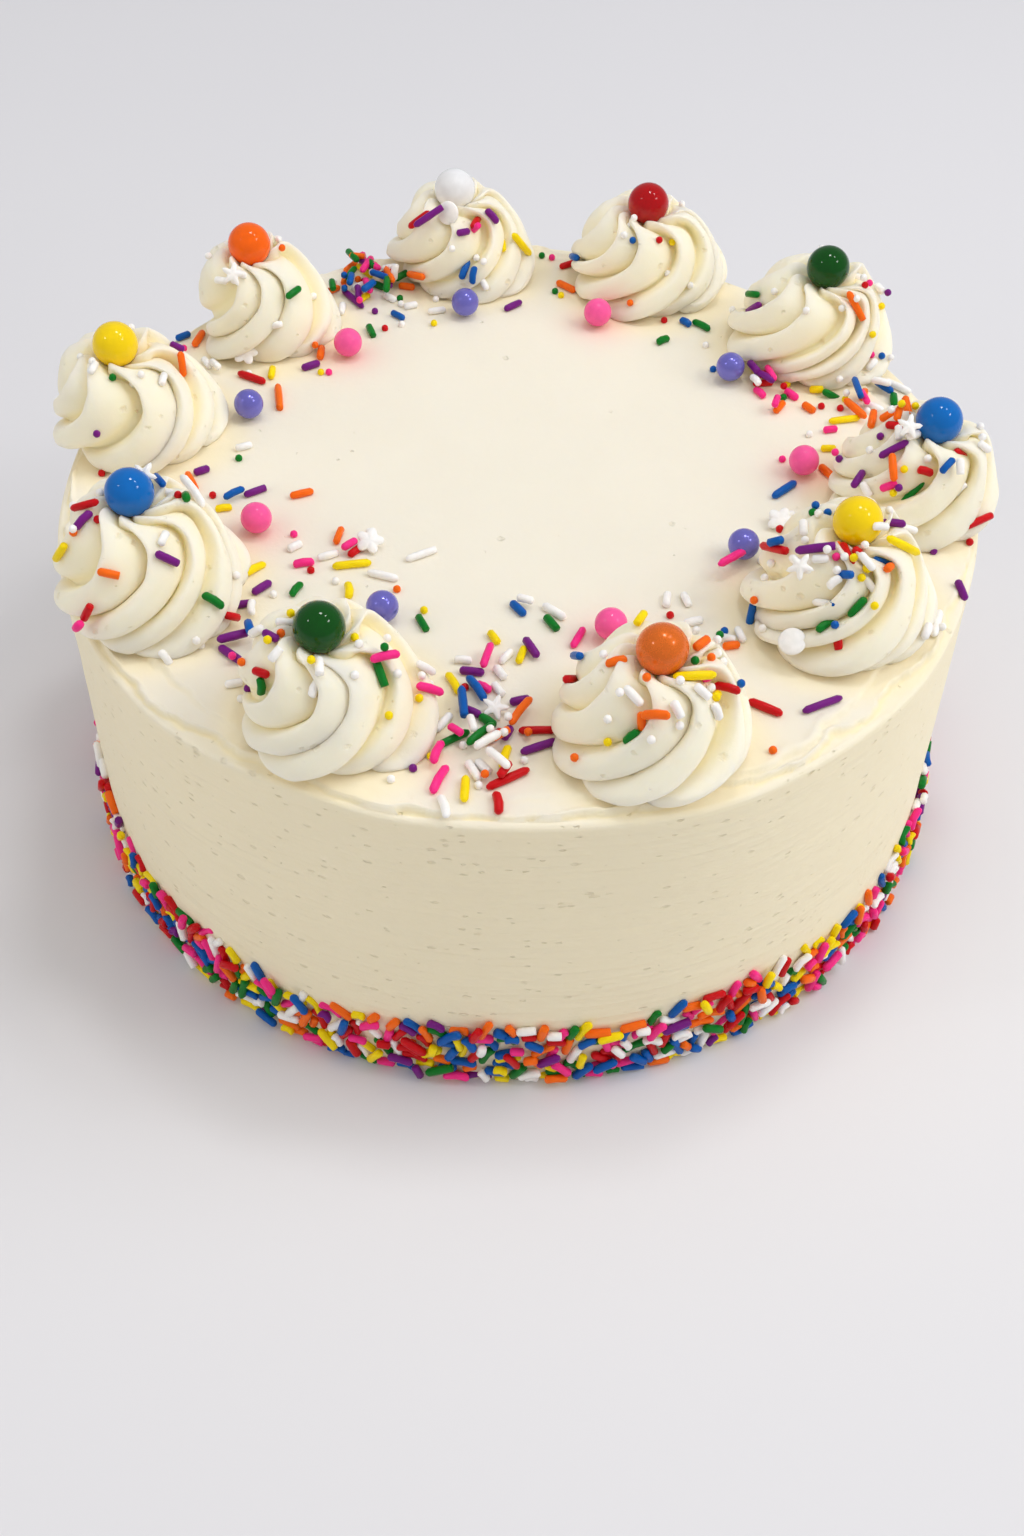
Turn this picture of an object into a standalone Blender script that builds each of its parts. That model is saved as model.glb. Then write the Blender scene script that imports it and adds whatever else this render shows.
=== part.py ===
"""A round white iced cake, dressed for a party.

Ten piped swirls stand round the top edge, each with a sugar ball in its crown. A small pearl lies at
the inner foot of each swirl, short sugar strands are scattered over the top, and a thick band of the
same strands runs round the foot of the side. Metres, +Z up, the origin at the centre of the base, and
the side that is seen first faces -Y.
"""

import math
import random
from collections import namedtuple

import bmesh
import bpy
from mathutils import Matrix, Vector

MM = 0.001
GAP = 0.0003

# The cake
CAKE_RADIUS = 0.1050
CAKE_HEIGHT = 0.0885
BASE_RADIUS = 0.1036
RIM_ROUNDING = 0.0045
RIM_WOBBLE = 0.0005
TURN_STEPS = 64

# The piped swirls: a lobed mound that a star nozzle leaves, given as shares of its foot and height
LOBE_POINTS = 4
LOBE_DEPTH = 0.17
LOBE_DROP = 0.05
SWIRL_TWIST = math.radians(125)
SWIRL_PROFILE = [(0.87, 0.0), (1.0, 0.14), (0.93, 0.36), (0.76, 0.6), (0.52, 0.83), (0.26, 1.0)]

# The sugar balls and pearls
BALL_RADIUS = 0.0052
PEARL_RADIUS = 0.0035
BALL_SINK = 0.0024
SEAT_RADIUS = 0.0060

# The sugar strands
STRAND_RADIUS = 0.00105
STRAND_LENGTHS = (0.0045, 0.0075)
STRAND_CLEARANCE = 0.0004
STRAND_SUNK = 0.3
STRAND_SIDES = 6
SWIRL_STRANDS = 2
BAND_STRANDS = 62

# The band of strands round the foot
BAND_HEIGHT = 0.0165
BAND_PROFILE = [(0.0, 0.0017), (0.4, 0.0020), (0.8, 0.0016), (1.0, 0.0009)]
BAND_TIERS = (0.78, 0.4, 0.6, 0.15, 0.9, 0.3)
BAND_STEPS = 72
BAND_BUMP = 0.0005

# Each swirl: bearing of its centre in degrees, then in millimetres its distance from the cake's axis,
# the radius of its foot, its height, its lobes, the way its crown leans, and the colour of its ball
Swirl = namedtuple("Swirl", "bearing distance foot height lobes lean colour")
SWIRLS = {
    "front_left": Swirl(245.5, 84, 21, 19.5, 9, (-3.2, 1.4), "green"),
    "front": Swirl(288.5, 86, 20.5, 19.5, 9, (0.8, 2.0), "copper"),
    "right_front": Swirl(328, 81, 22, 20, 10, (1.3, 2.5), "yellow"),
    "right": Swirl(358, 89, 20, 18.5, 9, (3.5, 0.0), "blue"),
    "back_right": Swirl(38.5, 92, 21.5, 19, 10, (2.3, 0.7), "green"),
    "back": Swirl(68.5, 92, 21, 19, 9, (-2.0, 0.8), "red"),
    "back_left": Swirl(99.5, 94, 20, 18.5, 9, (-2.0, 0.0), "white"),
    "left_back": Swirl(136, 87, 18.5, 20, 8, (-4.0, 1.7), "orange"),
    "left": Swirl(168.5, 90, 20.5, 19.5, 9, (-4.3, 1.3), "yellow"),
    "left_front": Swirl(207.5, 88, 21.5, 21, 10, (-2.4, 4.2), "blue"),
}

# Each pearl, by the swirl that it lies beside: its bearing from that swirl in degrees, how far it
# stands off in millimetres, its colour
Pearl = namedtuple("Pearl", "bearing stand_off colour")
PEARLS = {
    "front_left": Pearl(77, 4.4, "violet"),
    "front": Pearl(104, 6.0, "pink"),
    "right_front": Pearl(137, 0.0, "violet"),
    "right": Pearl(160, 0.6, "pink"),
    "back_right": Pearl(216, 0.0, "violet"),
    "back": Pearl(235, 0.0, "pink"),
    "back_left": Pearl(273, 0.0, "violet"),
    "left_back": Pearl(332, 0.0, "pink"),
    "left": Pearl(13, 0.0, "violet"),
    "left_front": Pearl(47, 4.0, "pink"),
}

# Where the strands gather on top: bearing in degrees, distance from the axis and spread in
# millimetres, and how many lie there
Cluster = namedtuple("Cluster", "bearing distance spread strands")
CLUSTERS = [
    Cluster(266, 73, 6, 4),
    Cluster(272, 89, 7, 5),
    Cluster(116, 88, 7, 5),
    Cluster(82, 80, 5, 2),
    Cluster(24, 82, 7, 4),
    Cluster(222, 80, 7, 3),
    Cluster(209, 54, 7, 3),
    Cluster(150, 78, 7, 3),
    Cluster(327, 52, 6, 3),
    Cluster(314, 72, 7, 1),
    Cluster(307, 93, 4, 2),
    Cluster(343, 98, 4, 1),
    Cluster(54, 74, 5, 1),
    Cluster(188, 95, 4, 1),
]

COLOURS = {
    "icing": (0.90, 0.84, 0.70),
    "green": (0.0, 0.11, 0.02),
    "copper": (0.55, 0.17, 0.03),
    "yellow": (0.80, 0.62, 0.01),
    "blue": (0.0, 0.16, 0.52),
    "red": (0.45, 0.0, 0.01),
    "white": (0.88, 0.88, 0.88),
    "orange": (0.90, 0.15, 0.01),
    "pink": (0.90, 0.10, 0.33),
    "violet": (0.14, 0.12, 0.48),
    "strands": (0.75, 0.30, 0.25),
}


def clear_scene():
    for item in list(bpy.data.objects):
        bpy.data.objects.remove(item, do_unlink=True)


def new_collection(name):
    group = bpy.data.collections.new(name)
    bpy.context.scene.collection.children.link(group)
    return group


def make_material(name, roughness, metallic=0.0):
    material = bpy.data.materials.new(name)
    material.use_nodes = True
    shader = material.node_tree.nodes["Principled BSDF"]
    shader.inputs["Base Color"].default_value = (*COLOURS[name], 1.0)
    shader.inputs["Roughness"].default_value = roughness
    shader.inputs["Metallic"].default_value = metallic
    return material


def add_object(name, mesh, material, group):
    item = bpy.data.objects.new(name, mesh)
    item.data.materials.append(material)
    group.objects.link(item)
    return item


def mesh_from(name, shape):
    """The bmesh's faces as a mesh, turned outwards and shaded smooth."""
    bmesh.ops.recalc_face_normals(shape, faces=shape.faces[:])
    mesh = bpy.data.meshes.new(name)
    shape.to_mesh(mesh)
    shape.free()
    mesh.shade_smooth()
    mesh.set_sharp_from_angle(angle=math.radians(50))
    return mesh


def apply_modifiers(item):
    bpy.context.view_layer.update()
    graph = bpy.context.evaluated_depsgraph_get()
    mesh = bpy.data.meshes.new_from_object(item.evaluated_get(graph))
    item.modifiers.clear()
    item.data = mesh


def fuse(item, pieces_group):
    """Join every object of the collection to the item, as one closed solid, and remove them."""
    union = item.modifiers.new("fused", "BOOLEAN")
    union.operation = "UNION"
    union.operand_type = "COLLECTION"
    union.collection = pieces_group
    apply_modifiers(item)
    for piece in list(pieces_group.objects):
        bpy.data.objects.remove(piece, do_unlink=True)
    bpy.data.collections.remove(pieces_group)


def polar(bearing, distance):
    """A place on the top from its bearing in degrees and its distance in metres."""
    turn = math.radians(bearing)
    return Vector((distance * math.cos(turn), distance * math.sin(turn), 0.0))


def side_radius(height):
    """The icing is a little wider at the rim than at the foot."""
    return BASE_RADIUS + (CAKE_RADIUS - BASE_RADIUS) * height / CAKE_HEIGHT


def make_cake(material, group):
    """The iced body: a turned profile, its rim left slightly uneven by the spatula."""
    shape = bmesh.new()
    shoulder = Vector((CAKE_RADIUS - RIM_ROUNDING, 0, CAKE_HEIGHT - RIM_ROUNDING))
    profile = [Vector((0, 0, CAKE_HEIGHT))]
    for quarter in range(4):
        turn = math.radians(90 - 30 * quarter)
        profile.append(shoulder + RIM_ROUNDING * Vector((math.cos(turn), 0, math.sin(turn))))
    profile.append(Vector((BASE_RADIUS, 0, 0)))
    profile.append(Vector((0, 0, 0)))
    points = [shape.verts.new(point) for point in profile]
    for start, end in zip(points, points[1:]):
        shape.edges.new((start, end))
    mesh = bpy.data.meshes.new("cake_body")
    shape.to_mesh(mesh)
    shape.free()
    cake = add_object("cake_body", mesh, material, group)
    turned = cake.modifiers.new("turned", "SCREW")
    turned.steps = TURN_STEPS
    turned.render_steps = TURN_STEPS
    turned.use_merge_vertices = True
    turned.merge_threshold = 0.00001
    apply_modifiers(cake)
    for point in cake.data.vertices:
        place = point.co
        out = math.hypot(place.x, place.y)
        if out > 0.9 * CAKE_RADIUS and place.z > 0.5 * CAKE_HEIGHT:
            turn = math.atan2(place.y, place.x)
            wave = math.sin(5 * turn + 0.6) + 0.7 * math.sin(11 * turn + 2.1)
            place.x *= 1 + RIM_WOBBLE * wave / out
            place.y *= 1 + RIM_WOBBLE * wave / out
    cake.data.shade_smooth()
    cake.data.set_sharp_from_angle(angle=math.radians(50))
    return cake


def ridge(part):
    """Height of a lobe across its width: a steep inner edge, then a long slope outwards."""
    return (0.0, 0.8, 1.0, 0.5)[part % LOBE_POINTS]


def swirl_point(swirl, level, step, lobe_heights):
    """A point of the swirl's skin, with its foot's centre as the origin."""
    share, rise = SWIRL_PROFILE[level]
    valley = 1 - ridge(step)
    depth = LOBE_DEPTH * (0.55 + 0.45 * share) * lobe_heights[step // LOBE_POINTS]
    radius = swirl.foot * share * (1 - depth * valley)
    turn = 2 * math.pi * step / (swirl.lobes * LOBE_POINTS) + SWIRL_TWIST * (1 - share)
    across = swirl.lean[0] * rise ** 1.5 + radius * math.cos(turn)
    along = swirl.lean[1] * rise ** 1.5 + radius * math.sin(turn)
    height = swirl.height * (rise - LOBE_DROP * valley * min(level, 1))
    return Vector((across, along, height)) * MM


def swirl_place(swirl):
    """Where the middle of the swirl's foot stands, a hair above the icing."""
    return polar(swirl.bearing, swirl.distance * MM) + Vector((0, 0, CAKE_HEIGHT + GAP))


def ball_place(swirl):
    """The centre of the ball in the swirl's crown."""
    rise = swirl.height * MM + BALL_RADIUS - BALL_SINK
    return swirl_place(swirl) + Vector((swirl.lean[0] * MM, swirl.lean[1] * MM, rise))


def lay_swirl_strands(swirl, lobe_heights, group, material, chance):
    """A few strands lying on the swirl's lobes."""
    steps = swirl.lobes * LOBE_POINTS
    for number in range(SWIRL_STRANDS):
        step = (number * steps) // SWIRL_STRANDS + chance.randrange(LOBE_POINTS)
        level = chance.choice((2, 3))
        here = swirl_point(swirl, level, step, lobe_heights)
        above = swirl_point(swirl, level + 1, step, lobe_heights)
        beside = swirl_point(swirl, level, (step + 1) % steps, lobe_heights)
        normal = (beside - here).cross(above - here).normalized()
        middle = (here + above) / 2 + 0.2 * STRAND_RADIUS * normal
        axis = (above - here).normalized()
        axis.rotate(Matrix.Rotation(chance.uniform(-0.7, 0.7), 3, normal))
        length = chance.uniform(*STRAND_LENGTHS) * 0.8
        make_strand(swirl_place(swirl) + middle, axis, length, material, group)


def make_swirl(name, swirl, material, group, chance):
    """A loft of lobed rings from the foot to the crown, with a seat for the ball and a few strands."""
    steps = swirl.lobes * LOBE_POINTS
    lobe_heights = [chance.uniform(0.8, 1.15) for _ in range(swirl.lobes)]
    shape = bmesh.new()
    rings = []
    for level in range(len(SWIRL_PROFILE)):
        ring = [shape.verts.new(swirl_point(swirl, level, step, lobe_heights)) for step in range(steps)]
        rings.append(ring)
    for low, high in zip(rings, rings[1:]):
        for step in range(steps):
            after = (step + 1) % steps
            shape.faces.new((low[step], low[after], high[after], high[step]))
    shape.faces.new(rings[-1])
    shape.faces.new(rings[0][::-1])
    piece = add_object("swirl_" + name, mesh_from(name, shape), material, group)
    piece.location = swirl_place(swirl)

    seats = new_collection("cutters")
    cutter = make_ball("seat_" + name, SEAT_RADIUS, 10, 7, material, seats)
    cutter.location = ball_place(swirl)
    cutter.hide_render = True
    cutter.display_type = "WIRE"
    cut = piece.modifiers.new("seat", "BOOLEAN")
    cut.operation = "DIFFERENCE"
    cut.object = cutter

    strands = new_collection("strands_" + name)
    lay_swirl_strands(swirl, lobe_heights, strands, material, chance)
    fuse(piece, strands)
    bpy.data.objects.remove(cutter, do_unlink=True)
    bpy.data.collections.remove(seats)


def make_ball(name, radius, segments, rings, material, group):
    shape = bmesh.new()
    bmesh.ops.create_uvsphere(shape, u_segments=segments, v_segments=rings, radius=radius)
    return add_object(name, mesh_from(name, shape), material, group)


def make_strand(middle, axis, length, material, group):
    """One sugar strand: a rounded rod of its own length, lying along the axis."""
    shape = bmesh.new()
    radius = STRAND_RADIUS / math.cos(math.radians(30))
    bmesh.ops.create_uvsphere(shape, u_segments=STRAND_SIDES, v_segments=3, radius=radius)
    half = length / 2 - radius
    for point in shape.verts:
        point.co.z += math.copysign(half, point.co.z)
    strand = add_object("strand", mesh_from("strand", shape), material, group)
    turn = Vector((0, 0, 1)).rotation_difference(axis)
    strand.matrix_world = Matrix.Translation(middle) @ turn.to_matrix().to_4x4()
    return strand


def top_places(chance, taken):
    """Places and lengths for the strands on top, clear of one another and of what stands there."""
    edge = CAKE_RADIUS - RIM_ROUNDING - STRAND_CLEARANCE
    places = []
    for cluster in CLUSTERS:
        left = cluster.strands
        while left:
            spread = cluster.spread * MM
            place = polar(cluster.bearing, cluster.distance * MM)
            place += Vector((chance.gauss(0, spread), chance.gauss(0, spread), 0))
            length = chance.uniform(*STRAND_LENGTHS)
            reach = length / 2
            crowded = any((place - other).length < reach + room for other, room in taken)
            if crowded or place.length + reach > edge:
                continue
            taken.append((place, reach + STRAND_CLEARANCE))
            places.append((place, length))
            left -= 1
    return places


def pearl_place(name):
    """Where the pearl beside a swirl touches down."""
    swirl = SWIRLS[name]
    pearl = PEARLS[name]
    out = (swirl.foot + pearl.stand_off) * MM + PEARL_RADIUS + 2 * GAP
    return polar(swirl.bearing, swirl.distance * MM) + polar(pearl.bearing, out)


def strew_top(cake, material, chance):
    """Fuse the strands that lie on the top to the icing under them."""
    taken = [(pearl_place(name), PEARL_RADIUS + STRAND_RADIUS + STRAND_CLEARANCE) for name in PEARLS]
    for swirl in SWIRLS.values():
        foot = polar(swirl.bearing, swirl.distance * MM)
        taken.append((foot, swirl.foot * MM + STRAND_RADIUS + STRAND_CLEARANCE))
    strands = new_collection("strands_top")
    for place, length in top_places(chance, taken):
        height = CAKE_HEIGHT + STRAND_RADIUS * (1 - 2 * STRAND_SUNK)
        axis = polar(chance.uniform(0, 360), 1.0)
        make_strand(place + Vector((0, 0, height)), axis, length, material, strands)
    fuse(cake, strands)


def band_depth(height):
    """How far the band's core stands out from the side at a height."""
    share = height / BAND_HEIGHT
    for (low, near), (high, far) in zip(BAND_PROFILE, BAND_PROFILE[1:]):
        if share <= high:
            break
    slide = min(1.0, (share - low) / (high - low))
    return near + (far - near) * slide


def make_band(material, group, chance):
    """The band: a bumpy ring a hair clear of the side, with the outermost strands fused on."""
    shape = bmesh.new()
    points = []
    for share, depth in [(BAND_PROFILE[-1][0], 0.0)] + BAND_PROFILE[::-1] + [(0.0, 0.0)]:
        height = share * BAND_HEIGHT
        points.append(shape.verts.new((side_radius(height) + GAP + depth, 0, height)))
    for start, end in zip(points, points[1:] + points[:1]):
        shape.edges.new((start, end))
    mesh = bpy.data.meshes.new("sprinkle_band")
    shape.to_mesh(mesh)
    shape.free()
    band = add_object("sprinkle_band", mesh, material, group)
    turned = band.modifiers.new("turned", "SCREW")
    turned.steps = BAND_STEPS
    turned.render_steps = BAND_STEPS
    turned.use_merge_vertices = True
    turned.merge_threshold = 0.00001
    apply_modifiers(band)
    for point in band.data.vertices:
        place = point.co
        out = math.hypot(place.x, place.y)
        if out - side_radius(place.z) - GAP < 0.0001:
            continue
        swell = 1 + chance.uniform(-1, 1) * BAND_BUMP / out
        place.x *= swell
        place.y *= swell
        if place.z > 0.001:
            place.z += chance.uniform(-1, 1) * BAND_BUMP

    strands = new_collection("strands_band")
    for number in range(BAND_STRANDS):
        length = chance.uniform(*STRAND_LENGTHS)
        tilt = chance.uniform(-1.3, 1.3)
        low = STRAND_RADIUS + 0.5 * length * abs(math.sin(tilt)) + GAP
        tier = BAND_TIERS[number % len(BAND_TIERS)] * BAND_HEIGHT
        height = max(low, tier + chance.uniform(-1, 1) * STRAND_RADIUS)
        bearing = 360 * (number + chance.uniform(-0.3, 0.3)) / BAND_STRANDS
        out = polar(bearing, 1.0)
        tangent = Vector((-out.y, out.x, 0))
        axis = math.cos(tilt) * tangent + Vector((0, 0, math.sin(tilt)))
        distance = side_radius(height) + GAP + band_depth(height) + 0.1 * STRAND_RADIUS
        make_strand(out * distance + Vector((0, 0, height)), axis, length, material, strands)
    fuse(band, strands)
    return band


def main():
    clear_scene()
    group = new_collection("party_cake")
    rough = {"icing": 0.55, "strands": 0.4, "copper": 0.3}
    pearly = {"copper": 0.5, "violet": 0.5}
    materials = {}
    for name in COLOURS:
        materials[name] = make_material(name, rough.get(name, 0.18), pearly.get(name, 0.0))
    chance = random.Random(24)
    cake = make_cake(materials["icing"], group)
    strew_top(cake, materials["icing"], chance)
    make_band(materials["strands"], group, chance)
    for name, swirl in SWIRLS.items():
        make_swirl(name, swirl, materials["icing"], group, chance)
        ball = make_ball("ball_" + name, BALL_RADIUS, 12, 6, materials[swirl.colour], group)
        ball.location = ball_place(swirl)
    for name, pearl in PEARLS.items():
        small = make_ball("pearl_" + name, PEARL_RADIUS, 8, 6, materials[pearl.colour], group)
        small.location = pearl_place(name) + Vector((0, 0, CAKE_HEIGHT + GAP + PEARL_RADIUS))


main()
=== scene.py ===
"""A round white iced cake dressed for a party: the looks.

The iced body, ten piped swirls, their sugar balls, the pearls, the band of sugar strands round the foot
and the strewn sprinkles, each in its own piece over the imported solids. Metres, +Z up, the front at -Y.
"""
import math
import random
from collections import namedtuple

import bmesh
import bpy
import numpy as np
from mathutils import Matrix, Vector, noise
from mathutils.bvhtree import BVHTree


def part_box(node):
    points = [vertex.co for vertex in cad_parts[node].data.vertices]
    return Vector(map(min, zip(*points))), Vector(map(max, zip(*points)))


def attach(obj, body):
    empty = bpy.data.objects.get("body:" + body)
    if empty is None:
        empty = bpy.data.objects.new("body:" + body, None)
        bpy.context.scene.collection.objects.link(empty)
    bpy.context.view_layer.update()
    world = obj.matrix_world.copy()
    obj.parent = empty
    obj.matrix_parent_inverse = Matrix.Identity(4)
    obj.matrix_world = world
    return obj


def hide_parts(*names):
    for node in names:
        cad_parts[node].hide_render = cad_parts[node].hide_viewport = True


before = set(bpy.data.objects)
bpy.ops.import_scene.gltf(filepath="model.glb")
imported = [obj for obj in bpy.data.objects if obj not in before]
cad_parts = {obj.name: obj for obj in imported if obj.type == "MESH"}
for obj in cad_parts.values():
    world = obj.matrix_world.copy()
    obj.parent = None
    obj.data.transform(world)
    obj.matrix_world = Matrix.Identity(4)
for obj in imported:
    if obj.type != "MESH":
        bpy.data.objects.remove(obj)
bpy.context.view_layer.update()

MM = 0.001
GAP = 0.0003  # under each swirl

# The cake
CAKE_RADIUS = 0.1050
CAKE_HEIGHT = 0.0885
BASE_RADIUS = 0.1036
RIM_WOBBLE = 0.0005
SHOULDER = CAKE_HEIGHT - 0.0048  # where the side begins to turn over into the top

# The sugar
BALL_RADIUS = 0.0052
BALL_SINK = 0.0024
BALL_SEAT = BALL_RADIUS + 0.00006  # the hollow that a ball presses into its swirl
BALL_MEAN = 0.9965  # a ball's mean radius, as a share of its solid's
BALL_FLATS = 0.0035  # how far its faint flats go either way
PEARL_RADIUS = 0.0035
STRAND_RADIUS = 0.00105
STRAND_LENGTH = 0.0060
BAND_ROOM = 1.56 * STRAND_RADIUS  # how near the axes of two strands of the band may come
BEAD_RADIUS = 0.00090
CONFETTI_RADIUS = 0.0029
TOUCH = 0.92  # how near two sprinkles may come, as a share of their radii: their coats dent a little
STEP = 0.0003  # how far a sprinkle is moved at a time until it touches nothing

# The frame and the lens, in pixels of the frame
FRAME_WIDTH = 1024
FRAME_HEIGHT = 1536
FOCAL = 1851.0

# Each swirl: bearing of its centre in degrees, then in millimetres its distance from the cake's axis,
# the radius of its foot, its height, its lobes, the way its crown leans, and the colour of its ball
Swirl = namedtuple("Swirl", "bearing distance foot height lobes lean colour")
SWIRLS = {
    "front_left": Swirl(245.5, 84, 21, 19.5, 9, (-3.2, 1.4), "green"),
    "front": Swirl(288.5, 86, 20.5, 19.5, 9, (0.8, 2.0), "copper"),
    "right_front": Swirl(328, 81, 22, 20, 10, (1.3, 2.5), "yellow"),
    "right": Swirl(358, 89, 20, 18.5, 9, (3.5, 0.0), "blue"),
    "back_right": Swirl(38.5, 92, 21.5, 19, 10, (2.3, 0.7), "green"),
    "back": Swirl(68.5, 92, 21, 19, 9, (-2.0, 0.8), "red"),
    "back_left": Swirl(99.5, 94, 20, 18.5, 9, (-2.0, 0.0), "white"),
    "left_back": Swirl(136, 87, 18.5, 20, 8, (-4.0, 1.7), "orange"),
    "left": Swirl(168.5, 90, 20.5, 19.5, 9, (-4.3, 1.3), "yellow"),
    "left_front": Swirl(207.5, 88, 21.5, 21, 10, (-2.4, 4.2), "blue"),
}

# The pearl beside each swirl, and its colour
PEARLS = {
    "front_left": "violet", "front": "pink", "right_front": "violet", "right": "pink", "back_right": "violet",
    "back": "pink", "back_left": "violet", "left_back": "pink", "left": "violet", "left_front": "pink",
}

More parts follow.
